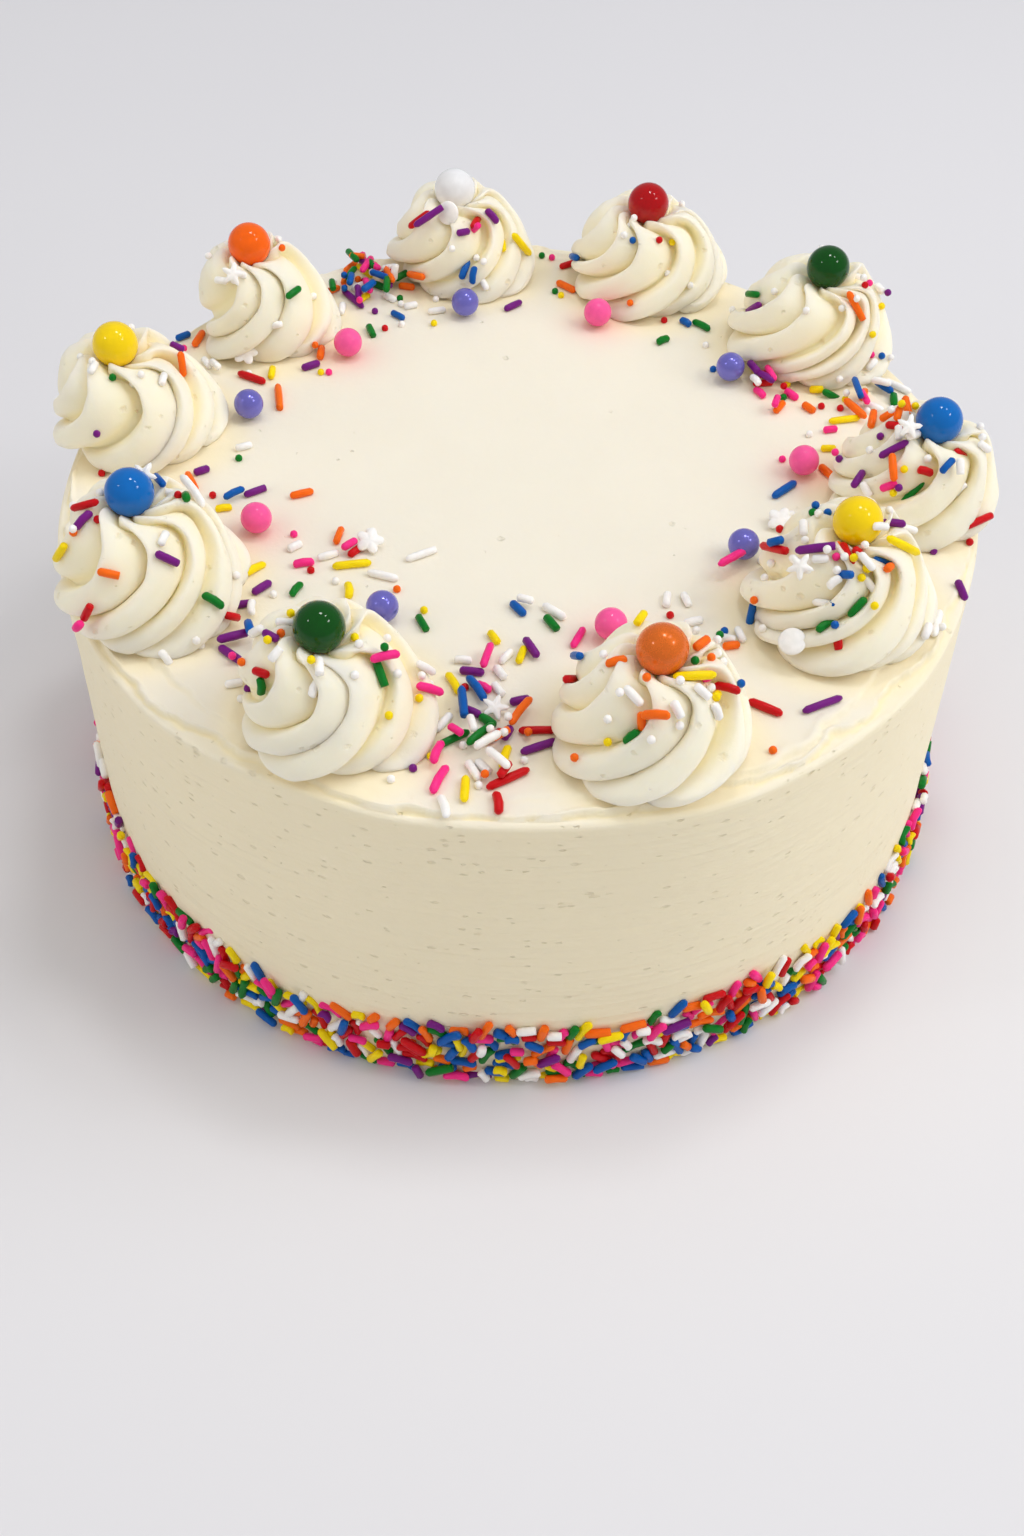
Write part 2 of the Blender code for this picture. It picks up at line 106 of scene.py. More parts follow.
# Where each strand is strewn, as the camera sees it: its middle, the way it points in degrees and its
# length, in pixels of the 1024 by 1536 frame
STREWN = {
    "yellow": [
        (63, 553, -57, 19), (224, 511, -8, 15), (255, 572, -18, 22), (272, 375, -80, 14),
        (348, 593, 87, 16), (352, 567, -6, 36), (365, 273, 38, 20), (365, 300, -33, 12), (453, 686, 60, 23),
        (465, 791, -86, 24), (494, 640, 52, 15), (504, 247, 85, 12), (506, 760, -76, 23),
        (519, 245, 40, 31), (521, 658, -69, 16), (641, 622, -53, 21), (683, 674, -15, 37),
        (714, 697, -75, 15), (755, 375, 64, 17), (817, 387, 0, 13), (828, 451, 0, 14), (844, 422, -7, 30),
        (870, 566, -26, 14), (901, 548, 30, 43),
    ],
    "red": [
        (86, 507, -32, 23), (88, 611, -64, 16), (230, 616, 12, 19), (252, 380, 19, 28), (263, 672, 19, 15),
        (356, 553, -37, 17), (421, 221, -48, 24), (474, 224, -55, 17), (497, 805, 82, 20),
        (508, 781, -24, 43), (537, 733, -1, 33), (568, 267, -17, 18), (571, 683, -3, 32),
        (729, 687, 12, 24), (735, 282, 7, 12), (765, 710, 22, 33), (776, 549, 13, 26), (838, 641, 85, 15),
        (850, 554, 82, 22), (862, 552, 2, 15), (924, 471, 16, 14), (960, 451, 45, 15), (977, 522, -22, 23),
    ],
    "purple": [
        (85, 522, -46, 21), (165, 559, 25, 22), (176, 348, 24, 14), (202, 473, -18, 15), (231, 657, 34, 26),
        (234, 644, -14, 30), (240, 607, -8, 21), (255, 494, -20, 21), (262, 590, -32, 20),
        (271, 638, 28, 15), (311, 368, -18, 18), (353, 301, 40, 28), (430, 222, -33, 32),
        (462, 233, -11, 13), (472, 674, 6, 22), (472, 714, 23, 17), (490, 218, 49, 17), (513, 308, -25, 19),
        (520, 703, -11, 18), (531, 652, 55, 22), (539, 749, -18, 35), (691, 208, -26, 20),
        (756, 307, -31, 18), (764, 390, 30, 19), (815, 550, -14, 35), (822, 707, -20, 39),
        (860, 481, -44, 18), (894, 450, -27, 30), (894, 527, 22, 22), (958, 591, 55, 20),
    ],
    "orange": [
        (109, 573, 12, 19), (183, 363, 86, 24), (192, 484, 62, 22), (199, 341, -56, 19), (279, 399, 85, 35),
        (302, 496, -13, 22), (321, 355, -81, 15), (339, 538, -69, 18), (521, 720, -52, 32),
        (566, 289, 26, 21), (615, 663, -22, 17), (641, 720, 88, 16), (656, 715, 4, 22), (702, 647, -36, 15),
        (731, 648, -7, 15), (808, 410, 34, 13), (826, 474, 42, 20), (853, 307, 66, 30), (854, 415, 41, 28),
        (863, 397, -68, 13), (886, 569, -35, 16), (890, 417, -29, 18), (894, 468, 88, 25),
        (897, 374, 34, 20), (907, 409, 79, 24),
    ],
    "green": [
        (185, 500, 78, 14), (213, 602, 32, 22), (263, 684, 87, 15), (292, 293, -37, 17),
        (297, 592, -50, 16), (333, 294, 81, 12), (355, 270, 50, 19), (371, 333, 65, 14), (377, 288, 19, 16),
        (377, 674, 70, 25), (422, 625, 59, 17), (454, 741, -25, 31), (481, 743, -37, 31),
        (551, 625, 48, 17), (631, 733, -39, 16), (663, 343, -23, 13), (701, 328, 27, 19), (755, 295, 5, 21),
        (826, 628, -37, 18), (830, 389, 33, 19), (855, 605, -47, 22), (909, 495, -60, 38),
    ],
    "pink": [
        (83, 615, -46, 15), (304, 566, -8, 19), (350, 552, -31, 16), (383, 658, -14, 26),
        (428, 691, 17, 30), (438, 759, -67, 22), (440, 782, -61, 29), (478, 216, -51, 19),
        (483, 690, 27, 15), (487, 663, -70, 25), (578, 640, -59, 22), (705, 681, -27, 23),
        (733, 570, -29, 37), (769, 387, 59, 18), (775, 411, -70, 13), (791, 397, 35, 15),
        (830, 432, -7, 13), (889, 485, -19, 16),
    ],
    "blue": [
        (161, 483, 48, 27), (183, 338, -22, 15), (235, 500, -26, 21), (251, 642, 76, 21),
        (398, 318, 28, 15), (463, 710, 84, 29), (466, 272, -76, 20), (474, 275, -82, 17),
        (476, 694, 54, 28), (518, 611, 44, 18), (575, 260, 21, 25), (580, 657, 6, 27), (685, 325, 31, 12),
        (754, 617, -60, 25), (782, 545, -14, 15), (784, 492, -33, 27), (848, 575, -2, 14),
        (855, 401, 70, 22), (882, 561, 8, 16), (883, 391, 33, 21), (946, 466, -47, 17),
    ],
    "white": [
        (93, 370, -60, 13), (161, 381, -74, 13), (162, 540, -65, 14), (166, 494, 0, 14), (166, 657, 53, 15),
        (190, 493, 35, 33), (201, 647, 77, 15), (207, 365, 51, 13), (216, 371, 41, 13), (222, 281, 7, 12),
        (234, 686, -9, 15), (236, 281, 4, 12), (240, 276, 19, 12), (244, 449, -14, 16), (253, 613, -88, 15),
        (259, 633, -28, 19), (277, 656, -49, 16), (278, 326, -12, 12), (284, 623, 1, 15),
        (295, 549, -27, 14), (314, 689, -68, 15), (318, 668, 88, 15), (328, 558, -15, 20),
        (342, 311, -79, 13), (358, 289, -24, 14), (373, 538, 43, 16), (383, 578, 13, 29),
        (390, 300, 27, 14), (411, 308, -12, 13), (421, 557, -19, 29), (423, 670, 31, 27),
        (437, 313, -8, 17), (443, 725, -47, 22), (443, 809, 74, 22), (463, 663, 4, 15), (472, 735, 73, 16),
        (473, 773, 58, 21), (483, 769, 43, 16), (484, 284, 60, 15), (488, 754, -30, 27), (498, 692, 49, 15),
        (498, 772, 40, 27), (500, 675, 50, 15), (506, 659, -46, 16), (525, 606, 15, 15), (546, 246, 2, 12),
        (554, 614, 31, 24), (633, 696, 47, 22), (667, 602, -84, 15), (675, 709, 63, 15), (686, 602, 63, 15),
        (693, 624, -12, 20), (700, 693, 42, 16), (712, 651, -19, 15), (713, 712, 70, 15),
        (723, 662, 86, 19), (726, 641, 10, 15), (740, 637, 63, 16), (754, 390, 47, 13), (781, 519, -11, 23),
        (802, 566, 38, 24), (804, 529, 87, 14), (820, 560, -4, 14), (827, 602, 33, 26), (833, 582, -38, 14),
        (858, 276, 31, 18), (858, 568, 50, 19), (867, 488, 62, 14), (869, 587, 35, 24), (871, 366, -47, 13),
        (873, 410, 23, 21), (877, 290, 38, 12), (879, 547, 3, 14), (897, 389, 25, 28), (898, 434, 89, 13),
        (909, 527, 16, 14), (912, 437, -15, 14), (925, 632, -68, 15), (937, 626, -77, 28),
        (954, 467, 89, 14), (962, 491, -45, 14), (982, 449, 40, 13),
    ],
}

# Where each bead lies, seen the same way
BEADS = {
    "orange": [
        (75, 533), (244, 662), (280, 247), (280, 634), (314, 344), (358, 281), (375, 267), (397, 591),
        (485, 780), (528, 738), (576, 759), (631, 304), (646, 679), (711, 660), (756, 600), (773, 752),
        (855, 547),
    ],
    "red": [
        (58, 523), (97, 521), (102, 475), (176, 495), (213, 497), (311, 572), (316, 260), (364, 283),
        (383, 282), (385, 330), (392, 285), (465, 689), (539, 243), (598, 639), (658, 241), (664, 322),
        (670, 617), (782, 530), (783, 392), (821, 408), (840, 410), (864, 287), (969, 544),
    ],
    "purple": [
        (97, 433), (248, 691), (333, 269), (375, 313), (413, 770), (841, 460), (880, 297), (881, 437),
        (898, 484), (933, 553),
    ],
    "pink": [
        (173, 338), (184, 350), (233, 663), (294, 536), (329, 374), (360, 296), (360, 309), (552, 259),
        (782, 461), (835, 558), (842, 459), (868, 285), (871, 356),
    ],
    "yellow": [
        (269, 644), (291, 615), (310, 664), (321, 374), (353, 636), (390, 716), (419, 699), (424, 612),
        (431, 758), (434, 325), (561, 297), (608, 740), (674, 241), (787, 386), (844, 566), (845, 401),
        (860, 578), (872, 335), (873, 605), (881, 307), (893, 489), (900, 413), (904, 469), (915, 408),
        (929, 397), (971, 602),
    ],
    "blue": [
        (345, 287), (345, 296), (632, 241), (713, 371), (724, 635), (740, 684), (816, 507), (827, 513),
        (831, 598), (836, 627), (881, 357),
    ],
    "green": [
        (112, 379), (239, 460), (379, 652), (400, 300), (542, 257), (555, 293), (694, 659), (719, 643),
        (783, 399), (813, 514), (897, 522),
    ],
    "white": [
        (132, 385), (140, 376), (314, 297), (334, 284), (336, 583), (391, 781), (402, 326), (463, 747),
        (484, 262), (651, 739), (678, 725), (696, 632), (773, 563), (809, 436), (818, 515), (844, 307),
        (889, 358),
    ],
}

# Heaps too dense to tell their strands apart: where each is seen, its spread and its strands
HEAPS = [(380, 284, 20, 24), (872, 412, 20, 6), (480, 745, 26, 6), (762, 386, 14, 5)]

# White beads rolled over the top: how many, and their heaps' bearings and distances in millimetres
WHITE_BEADS = 84
WHITE_HEAPS = [(266, 76), (270, 92), (116, 88), (24, 84), (222, 74), (316, 74), (340, 66), (188, 70),
               (54, 76)]

# The flat sugar shapes, seen the same way
CONFETTI = [
    ("disc", 793, 648), ("star", 495, 711), ("star", 803, 568), ("flower", 370, 545), ("flower", 246, 360),
    ("flower", 780, 524), ("star", 154, 483), ("disc", 457, 212), ("star", 232, 278), ("star", 903, 432),
]

# Sugar colours as they are seen, red, green and blue out of 255
SUGARS = {
    "red": (206, 6, 18), "orange": (255, 112, 14), "yellow": (255, 224, 0), "green": (0, 122, 34),
    "blue": (0, 92, 178), "purple": (120, 24, 130), "pink": (255, 48, 142), "white": (254, 251, 248),
}
# The band's layers: how far out from the wall, how many strands are tried, how steep they lie and how
# high they reach
BAND_LAYERS = [(0.0007, 2500, 0.3, 0.0021), (0.0007, 6000, 1.4, 0.0195), (0.0016, 8500, 1.4, 0.0187),
               (0.0020, 5500, 1.4, 0.0183)]
# How common each colour is in the band
BAND_SHARES = {
    "red": 17, "orange": 13, "yellow": 15, "green": 11, "blue": 13, "purple": 5, "pink": 15, "white": 17,
}

# Icing colours, as the shader takes them
ICING_PALE = (0.915, 0.86, 0.735, 1.0)
ICING_DEEP = (0.885, 0.825, 0.69, 1.0)
PIPED_PALE = (0.985, 0.905, 0.745, 1.0)
PIPED_DEEP = (0.97, 0.872, 0.685, 1.0)
# the warm yellow painted as shade in the grooves, on the side, under the rim's edges and round the swirls'
# feet
ICING_SHADE_TINT = (1.0, 0.85, 0.49, 1.0)
# the shade painted inside the air pits
PIT_SHADE = (0.62, 0.50, 0.25, 1.0)
PINK_STAIN = (1.0, 0.52, 0.55)
ORANGE_STAIN = (1.0, 0.80, 0.62)

# The lamps: place, where each points, its two widths, watts, colour, and whether polished sugar mirrors it
LAMPS = {
    "sky": ((0, 0, 2.6), (0, 0, 0), (3.4, 3.4), 11.3, (0.97, 0.98, 1.0), False),
    "key": ((2.05, 0.20, 1.85), (0, 0, 0.05), (1.7, 1.7), 23.5, (1, 1, 1), False),
    "fill": ((-2.25, -0.85, 0.9), (0, 0, 0.04), (2.0, 1.0), 12.0, (1.0, 0.93, 0.80), False),
    "fill_right": ((2.1, -0.9, 0.8), (0, 0, 0.04), (1.4, 0.8), 7.0, (1.0, 0.94, 0.83), False),
    "fill_front": ((0.1, -2.2, 0.5), (0, 0, 0.03), (1.6, 0.6), 0.8, (1.0, 0.80, 0.45), False),
    "glint": ((0.10, 0.14, 1.0), (0, 0, 0.1), (0.15, 0.15), 1.1, (1, 1, 1), True),
    "glint_right": ((0.42, 0.06, 0.95), (0, 0, 0.1), (0.10, 0.10), 0.44, (1, 1, 1), True),
    "glint_low": ((0.62, -0.22, 0.75), (0, 0, 0.1), (0.19, 0.11), 0.65, (1, 1, 1), True),
    "glint_left": ((-0.70, -0.30, 0.85), (0, 0, 0.1), (0.10, 0.10), 0.34, (1, 1, 1), True),
}


def seen(red, green, blue):
    """A colour as it is seen, out of 255, as the linear one that a shader takes."""
    parts = []
    for value in (red, green, blue):
        value /= 255
        parts.append(value / 12.92 if value <= 0.04045 else ((value + 0.055) / 1.055) ** 2.4)
    return (*parts, 1.0)


def polar(bearing, distance):
    """A place on the top from its bearing in degrees and its distance in metres."""
    turn = math.radians(bearing)
    return Vector((distance * math.cos(turn), distance * math.sin(turn), 0.0))


def swirl_place(swirl):
    """Where the middle of the swirl's foot stands, a hair above the icing."""
    return polar(swirl.bearing, swirl.distance * MM) + Vector((0, 0, CAKE_HEIGHT + GAP))


def ball_place(swirl):
    """The centre of the ball in the swirl's crown."""
    rise = swirl.height * MM + BALL_RADIUS - BALL_SINK
    return swirl_place(swirl) + Vector((swirl.lean[0] * MM, swirl.lean[1] * MM, rise))


def middle_of(node):
    low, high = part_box(node)
    return (low + high) / 2


# Node trees

def set_inputs(tree, node, inputs):
    """Gives each input of the node its value, or links it from a socket."""
    for name, value in inputs.items():
        if isinstance(value, bpy.types.NodeSocket):
            tree.links.new(value, node.inputs[name])
        else:
            node.inputs[name].default_value = value


def add_node(tree, kind, inputs=None, **settings):
    node = tree.nodes.new(kind)
    for name, value in settings.items():
        setattr(node, name, value)
    set_inputs(tree, node, inputs or {})
    return node


def math_node(tree, operation, first, second=0.0, third=0.0):
    node = add_node(tree, "ShaderNodeMath", {0: first, 1: second, 2: third}, operation=operation)
    return node.outputs[0]


def vector_node(tree, operation, first, second):
    return add_node(tree, "ShaderNodeVectorMath", {0: first, 1: second}, operation=operation).outputs[0]


def mix_colours(tree, share, first, second, blend="MIX"):
    # a mix of colours takes its share at 0 and its colours at 6 and 7, and gives its result at 2
    inputs = {0: share, 6: first, 7: second}
    return add_node(tree, "ShaderNodeMix", inputs, data_type="RGBA", blend_type=blend).outputs[2]


def noise_node(tree, place, scale, detail=2.0, **more):
    """Soft noise from 0 to 1."""
    inputs = {"Vector": place, "Scale": scale, "Detail": detail, **more}
    return add_node(tree, "ShaderNodeTexNoise", inputs).outputs["Fac"]


def bump_node(tree, strength, distance, height):
    inputs = {"Strength": strength, "Distance": distance, "Height": height}
    return add_node(tree, "ShaderNodeBump", inputs).outputs[0]


def stepped(tree, value, low, high, start=0.0, end=1.0):
    """The value brought smoothly from the low-high range to the start-end range."""
    node = add_node(tree, "ShaderNodeMapRange", {
        "Value": value, "From Min": low, "From Max": high, "To Min": start, "To Max": end,
    }, interpolation_type="SMOOTHSTEP")
    return node.outputs["Result"]


def new_group(name, inputs, outputs, tree_kind="ShaderNodeTree"):
    """A node group with its named sockets, and its two end nodes."""
    group = bpy.data.node_groups.new(name, tree_kind)
    for label, kind, value in inputs:
        socket = group.interface.new_socket(label, in_out="INPUT", socket_type="NodeSocket" + kind)
        if value is not None:
            socket.default_value = value
    for label, kind in outputs:
        group.interface.new_socket(label, in_out="OUTPUT", socket_type="NodeSocket" + kind)
    return group, group.nodes.new("NodeGroupInput"), group.nodes.new("NodeGroupOutput")


def air_pits_group():
    """Small pits that trapped air leaves in whipped icing, wider than they are high."""
    group, given, out = new_group("air_pits", [
        ("Position", "Vector", None), ("Spacing", "Float", 0.006), ("Share", "Float", 0.35),
        ("Flatness", "Float", 2.6),
    ], [("Pit", "Float")])
    flat = add_node(group, "ShaderNodeCombineXYZ", {"X": 1.0, "Y": 1.0, "Z": given.outputs["Flatness"]})
    place = vector_node(group, "MULTIPLY", given.outputs["Position"], flat.outputs[0])
    ragged = add_node(group, "ShaderNodeTexNoise", {"Vector": place, "Scale": 900.0, "Detail": 2.0})
    nudge = vector_node(group, "MULTIPLY", ragged.outputs["Color"], (0.0012, 0.0012, 0.0012))
    bent = vector_node(group, "ADD", place, nudge)
    scale = math_node(group, "DIVIDE", 1.0, given.outputs["Spacing"])
    cells = add_node(group, "ShaderNodeTexVoronoi", {"Vector": bent, "Scale": scale, "Randomness": 1.0})
    draw = add_node(group, "ShaderNodeSeparateColor", {"Color": cells.outputs["Color"]})
    lucky = math_node(group, "LESS_THAN", draw.outputs["Red"], given.outputs["Share"])
    rare = math_node(group, "POWER", draw.outputs["Green"], 2.5)
    reach = math_node(group, "MULTIPLY_ADD", rare, 0.34, 0.09)
    inside = math_node(group, "SUBTRACT", 1.0, math_node(group, "DIVIDE", cells.outputs["Distance"], reach))
    pit = stepped(group, inside, 0.0, 0.7)
    set_inputs(group, out, {"Pit": math_node(group, "MULTIPLY", pit, lucky)})
    return group


def sugar_coat_group():
    """The faint blotches and grain of a coloured sugar coat."""
    group, given, out = new_group("sugar_coat", [
        ("Position", "Vector", None), ("Colour", "Color", (1, 1, 1, 1)), ("Blotch size", "Float", 0.0012),
        ("Depth", "Float", 0.18),
    ], [("Colour", "Color"), ("Grain", "Float")])
    place, colour = given.outputs["Position"], given.outputs["Colour"]
    scale = math_node(group, "DIVIDE", 1.0, given.outputs["Blotch size"])
    blotch = noise_node(group, place, scale, 3.0)
    fine = noise_node(group, place, math_node(group, "MULTIPLY", scale, 4.5))
    dark = mix_colours(group, given.outputs["Depth"], colour, (0.0, 0.0, 0.0, 1.0))
    share = stepped(group, blotch, 0.35, 0.68)
    set_inputs(group, out, {
        "Colour": mix_colours(group, share, dark, colour),
        "Grain": math_node(group, "MULTIPLY_ADD", fine, 0.6, blotch),
    })
    return group


GROUPS = {}


def place_group(tree, name, inputs):
    """A shader group placed in a material; each group is built once."""
    makers = {"air_pits": air_pits_group, "sugar_coat": sugar_coat_group}
    if name not in GROUPS:
        GROUPS[name] = makers[name]()
    return add_node(tree, "ShaderNodeGroup", inputs, node_tree=GROUPS[name])


def new_material(name):
    material = bpy.data.materials.new(name)
    material.use_nodes = True
    tree = material.node_tree
    shader = tree.nodes["Principled BSDF"]
    place = tree.nodes.new("ShaderNodeTexCoord").outputs["Object"]
    return material, tree, shader, place


def buttercream(name, pale, deep, pit_spacing, pit_share, flatness, streaks, glow, torn=0.0):
    """Whipped icing: warm white with painted yellow shade in its hollows and pits, pitted by air, with a soft
    fatty sheen.
    """
    material, tree, shader, place = new_material(name)
    tone = mix_colours(tree, noise_node(tree, place, 45.0, 4.0), deep, pale)
    # painted shade: the icing turns a warm yellow where its mesh marks it as lying in shade
    hollow = add_node(tree, "ShaderNodeAttribute", attribute_name="hollow").outputs["Fac"]
    tone = mix_colours(tree, math_node(tree, "MULTIPLY", hollow, 0.80), tone, ICING_SHADE_TINT)
    share, dark = pit_share, 0.22
    if torn:
        # few pits on the top, and a row of torn ones just under the rim, with more shade painted inside them
        up = add_node(tree, "ShaderNodeSeparateXYZ", {"Vector": place}).outputs["Z"]
        over, under = stepped(tree, up, 0.0800, 0.0845), stepped(tree, up, 0.0872, 0.0860)
        near_rim = math_node(tree, "MULTIPLY", over, under)
        patchy = stepped(tree, noise_node(tree, place, 28.0, 1.0), 0.45, 0.6)
        row = math_node(tree, "MULTIPLY", near_rim, patchy)
        below = stepped(tree, up, 0.0875, 0.0860, 0.12 * pit_share, pit_share)
        share = math_node(tree, "MULTIPLY_ADD", row, torn, below)
        dark = math_node(tree, "MULTIPLY_ADD", row, 0.45, 0.13)
    pits = place_group(tree, "air_pits", {
        "Position": place, "Spacing": pit_spacing, "Share": share, "Flatness": flatness,
    }).outputs["Pit"]
    # painted shade: each air pit is painted darker inside
    tone = mix_colours(tree, math_node(tree, "MULTIPLY", pits, dark), tone, PIT_SHADE)
    dye = add_node(tree, "ShaderNodeAttribute", attribute_name="dye")
    tone = mix_colours(tree, dye.outputs["Alpha"], tone, dye.outputs["Color"], "MULTIPLY")
    grain = noise_node(tree, place, 650.0, 3.0, Roughness=0.6)
    swept = add_node(tree, "ShaderNodeMapping", {"Vector": place, "Scale": (0.06, 0.06, 1.0)})
    lines = math_node(tree, "MULTIPLY", noise_node(tree, swept.outputs[0], 520.0, 3.0), streaks)
    height = math_node(tree, "MULTIPLY_ADD", grain, 0.25, lines)
    height = math_node(tree, "SUBTRACT", height, math_node(tree, "MULTIPLY", pits, 0.80))
    set_inputs(tree, shader, {
        "Base Color": tone, "Normal": bump_node(tree, 0.9, 0.00042, height),
        "Roughness": stepped(tree, grain, 0.3, 0.7, 0.46, 0.60), "Specular IOR Level": 0.42,
        "Subsurface Weight": glow, "Subsurface Radius": (1.0, 0.88, 0.66), "Subsurface Scale": 0.0055,
    })
    return material


def candy(name, colour, roughness, metallic=0.0, blotch=0.0022, depth=0.05):
    """A sugar ball's polished shell, with the faint blotches of its colouring."""
    material, tree, shader, place = new_material(name)
    shell = place_group(tree, "sugar_coat", {
        "Position": place, "Colour": colour, "Blotch size": blotch, "Depth": depth,
    })
    uneven = noise_node(tree, place, 220.0, 1.0)
    height = math_node(tree, "MULTIPLY_ADD", shell.outputs["Grain"], 0.12, uneven)
    set_inputs(tree, shader, {
        "Base Color": shell.outputs["Colour"], "Normal": bump_node(tree, 0.12, 0.0002, height),
        "Roughness": stepped(tree, shell.outputs["Grain"], 0.5, 1.1, roughness * 0.8, roughness * 1.25),
        "Metallic": metallic, "Coat Weight": 0.65, "Coat Roughness": 0.06, "Specular IOR Level": 0.05,
    })
    return material


def strand_sugar(name, colour):
    """The satin, slightly streaky coat of a pressed sugar strand."""
    material, tree, shader, place = new_material(name)
    coat = place_group(tree, "sugar_coat", {
        "Position": place, "Colour": colour, "Blotch size": 0.0016, "Depth": 0.06,
    })
    set_inputs(tree, shader, {
        "Base Color": coat.outputs["Colour"], "Normal": bump_node(tree, 0.2, 0.00008, coat.outputs["Grain"]),
        "Roughness": stepped(tree, coat.outputs["Grain"], 0.5, 1.1, 0.28, 0.45), "Specular IOR Level": 0.26,
        "Subsurface Weight": 0.3, "Subsurface Radius": (1.0, 0.9, 0.8), "Subsurface Scale": 0.0008,
    })
    return material


# Meshes

def ring_turns(around):
    return np.arange(around) * 2 * math.pi / around


def round_z(out, turns, up):
    """Points at these distances and bearings round +Z, and at these heights."""
    return np.stack(np.broadcast_arrays(out * np.cos(turns), out * np.sin(turns), up), axis=-1)


def ball_rings(around, levels):
    """Rings of points over a ball of radius 1, without its poles."""
    tilts = [-math.pi / 2 + math.pi * level / levels for level in range(1, levels)]
    return np.array([round_z(math.cos(tilt), ring_turns(around), math.sin(tilt)) for tilt in tilts])


def shell_mesh(name, rings, foot, crown):
    """A closed skin through rings of points that run round +Z, from the foot's pole to the crown's."""
    rings = np.asarray(rings, float)
    levels, around = rings.shape[:2]
    points = np.concatenate([rings.reshape(-1, 3), [foot, crown]])
    grid = np.arange(levels * around).reshape(levels, around)
    after = np.roll(grid, -1, axis=1)
    walls = np.stack([grid[:-1], after[:-1], after[1:], grid[1:]], axis=-1).reshape(-1, 4)
    under = np.stack([np.full(around, levels * around), after[0], grid[0]], axis=-1)
    over = np.stack([np.full(around, levels * around + 1), grid[-1], after[-1]], axis=-1)
    mesh = bpy.data.meshes.new(name)
    mesh.from_pydata(points.tolist(), [], walls.tolist() + under.tolist() + over.tolist())
    mesh.shade_smooth()
    return mesh


def new_object(name, data):
    made = bpy.data.objects.new(name, data)
    bpy.context.scene.collection.objects.link(made)
    return made


def add_piece(name, mesh, material, nodes=()):
    """A finished piece: its mesh holds its place, and it rides on the cake."""
    piece = new_object(name, mesh)
    if material is not None:
        piece.data.materials.append(material)
    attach(piece, "root")
    if nodes:
        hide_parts(*nodes)
    return piece


def paint(mesh, name, values):
    """One value at each point of the mesh, for its material to read."""
    kind = "FLOAT" if np.ndim(values) == 1 else "FLOAT_COLOR"
    layer = mesh.attributes.new(name, kind, "POINT")
    layer.data.foreach_set("value" if kind == "FLOAT" else "color", np.asarray(values, np.float32).ravel())


def smooth_through(keys, at):
    """A smooth curve through the keys, read at each value of at."""
    x, y = np.array(keys, float).T
    slope = np.gradient(y, x)
    at = np.asarray(at, float)
    k = np.clip(np.searchsorted(x, at, side="right") - 1, 0, len(x) - 2)
    width = x[k + 1] - x[k]
    s = (at - x[k]) / width
    return ((1 + 2 * s) * (1 - s) ** 2 * y[k] + s * (1 - s) ** 2 * width * slope[k]
            + s * s * (3 - 2 * s) * y[k + 1] + s * s * (s - 1) * width * slope[k + 1])


def smoothstep(low, high, value):
    share = np.clip((value - low) / (high - low), 0, 1)
    return share * share * (3 - 2 * share)


def rumple(points, size, seed):
    """Smooth noise from -1 to 1 at each point, its lumps about size metres wide."""
    shift = Vector((seed * 7.3, seed * -3.1, seed * 5.7))
    flat = np.asarray(points, float).reshape(-1, 3) / size
    values = [noise.noise(Vector(place) + shift) for place in flat]
    return np.array(values).reshape(np.shape(points)[:-1])


def wander(turns, size, seed):
    """Noise from -1 to 1 round the rim, its waves about size metres long."""
    return rumple(round_z(1, turns, 0) * CAKE_RADIUS, size, seed)


# The iced body

def wall_at(height):
    """How far the side stands from the axis at this height."""
    return BASE_RADIUS + (CAKE_RADIUS - BASE_RADIUS) * height / CAKE_HEIGHT


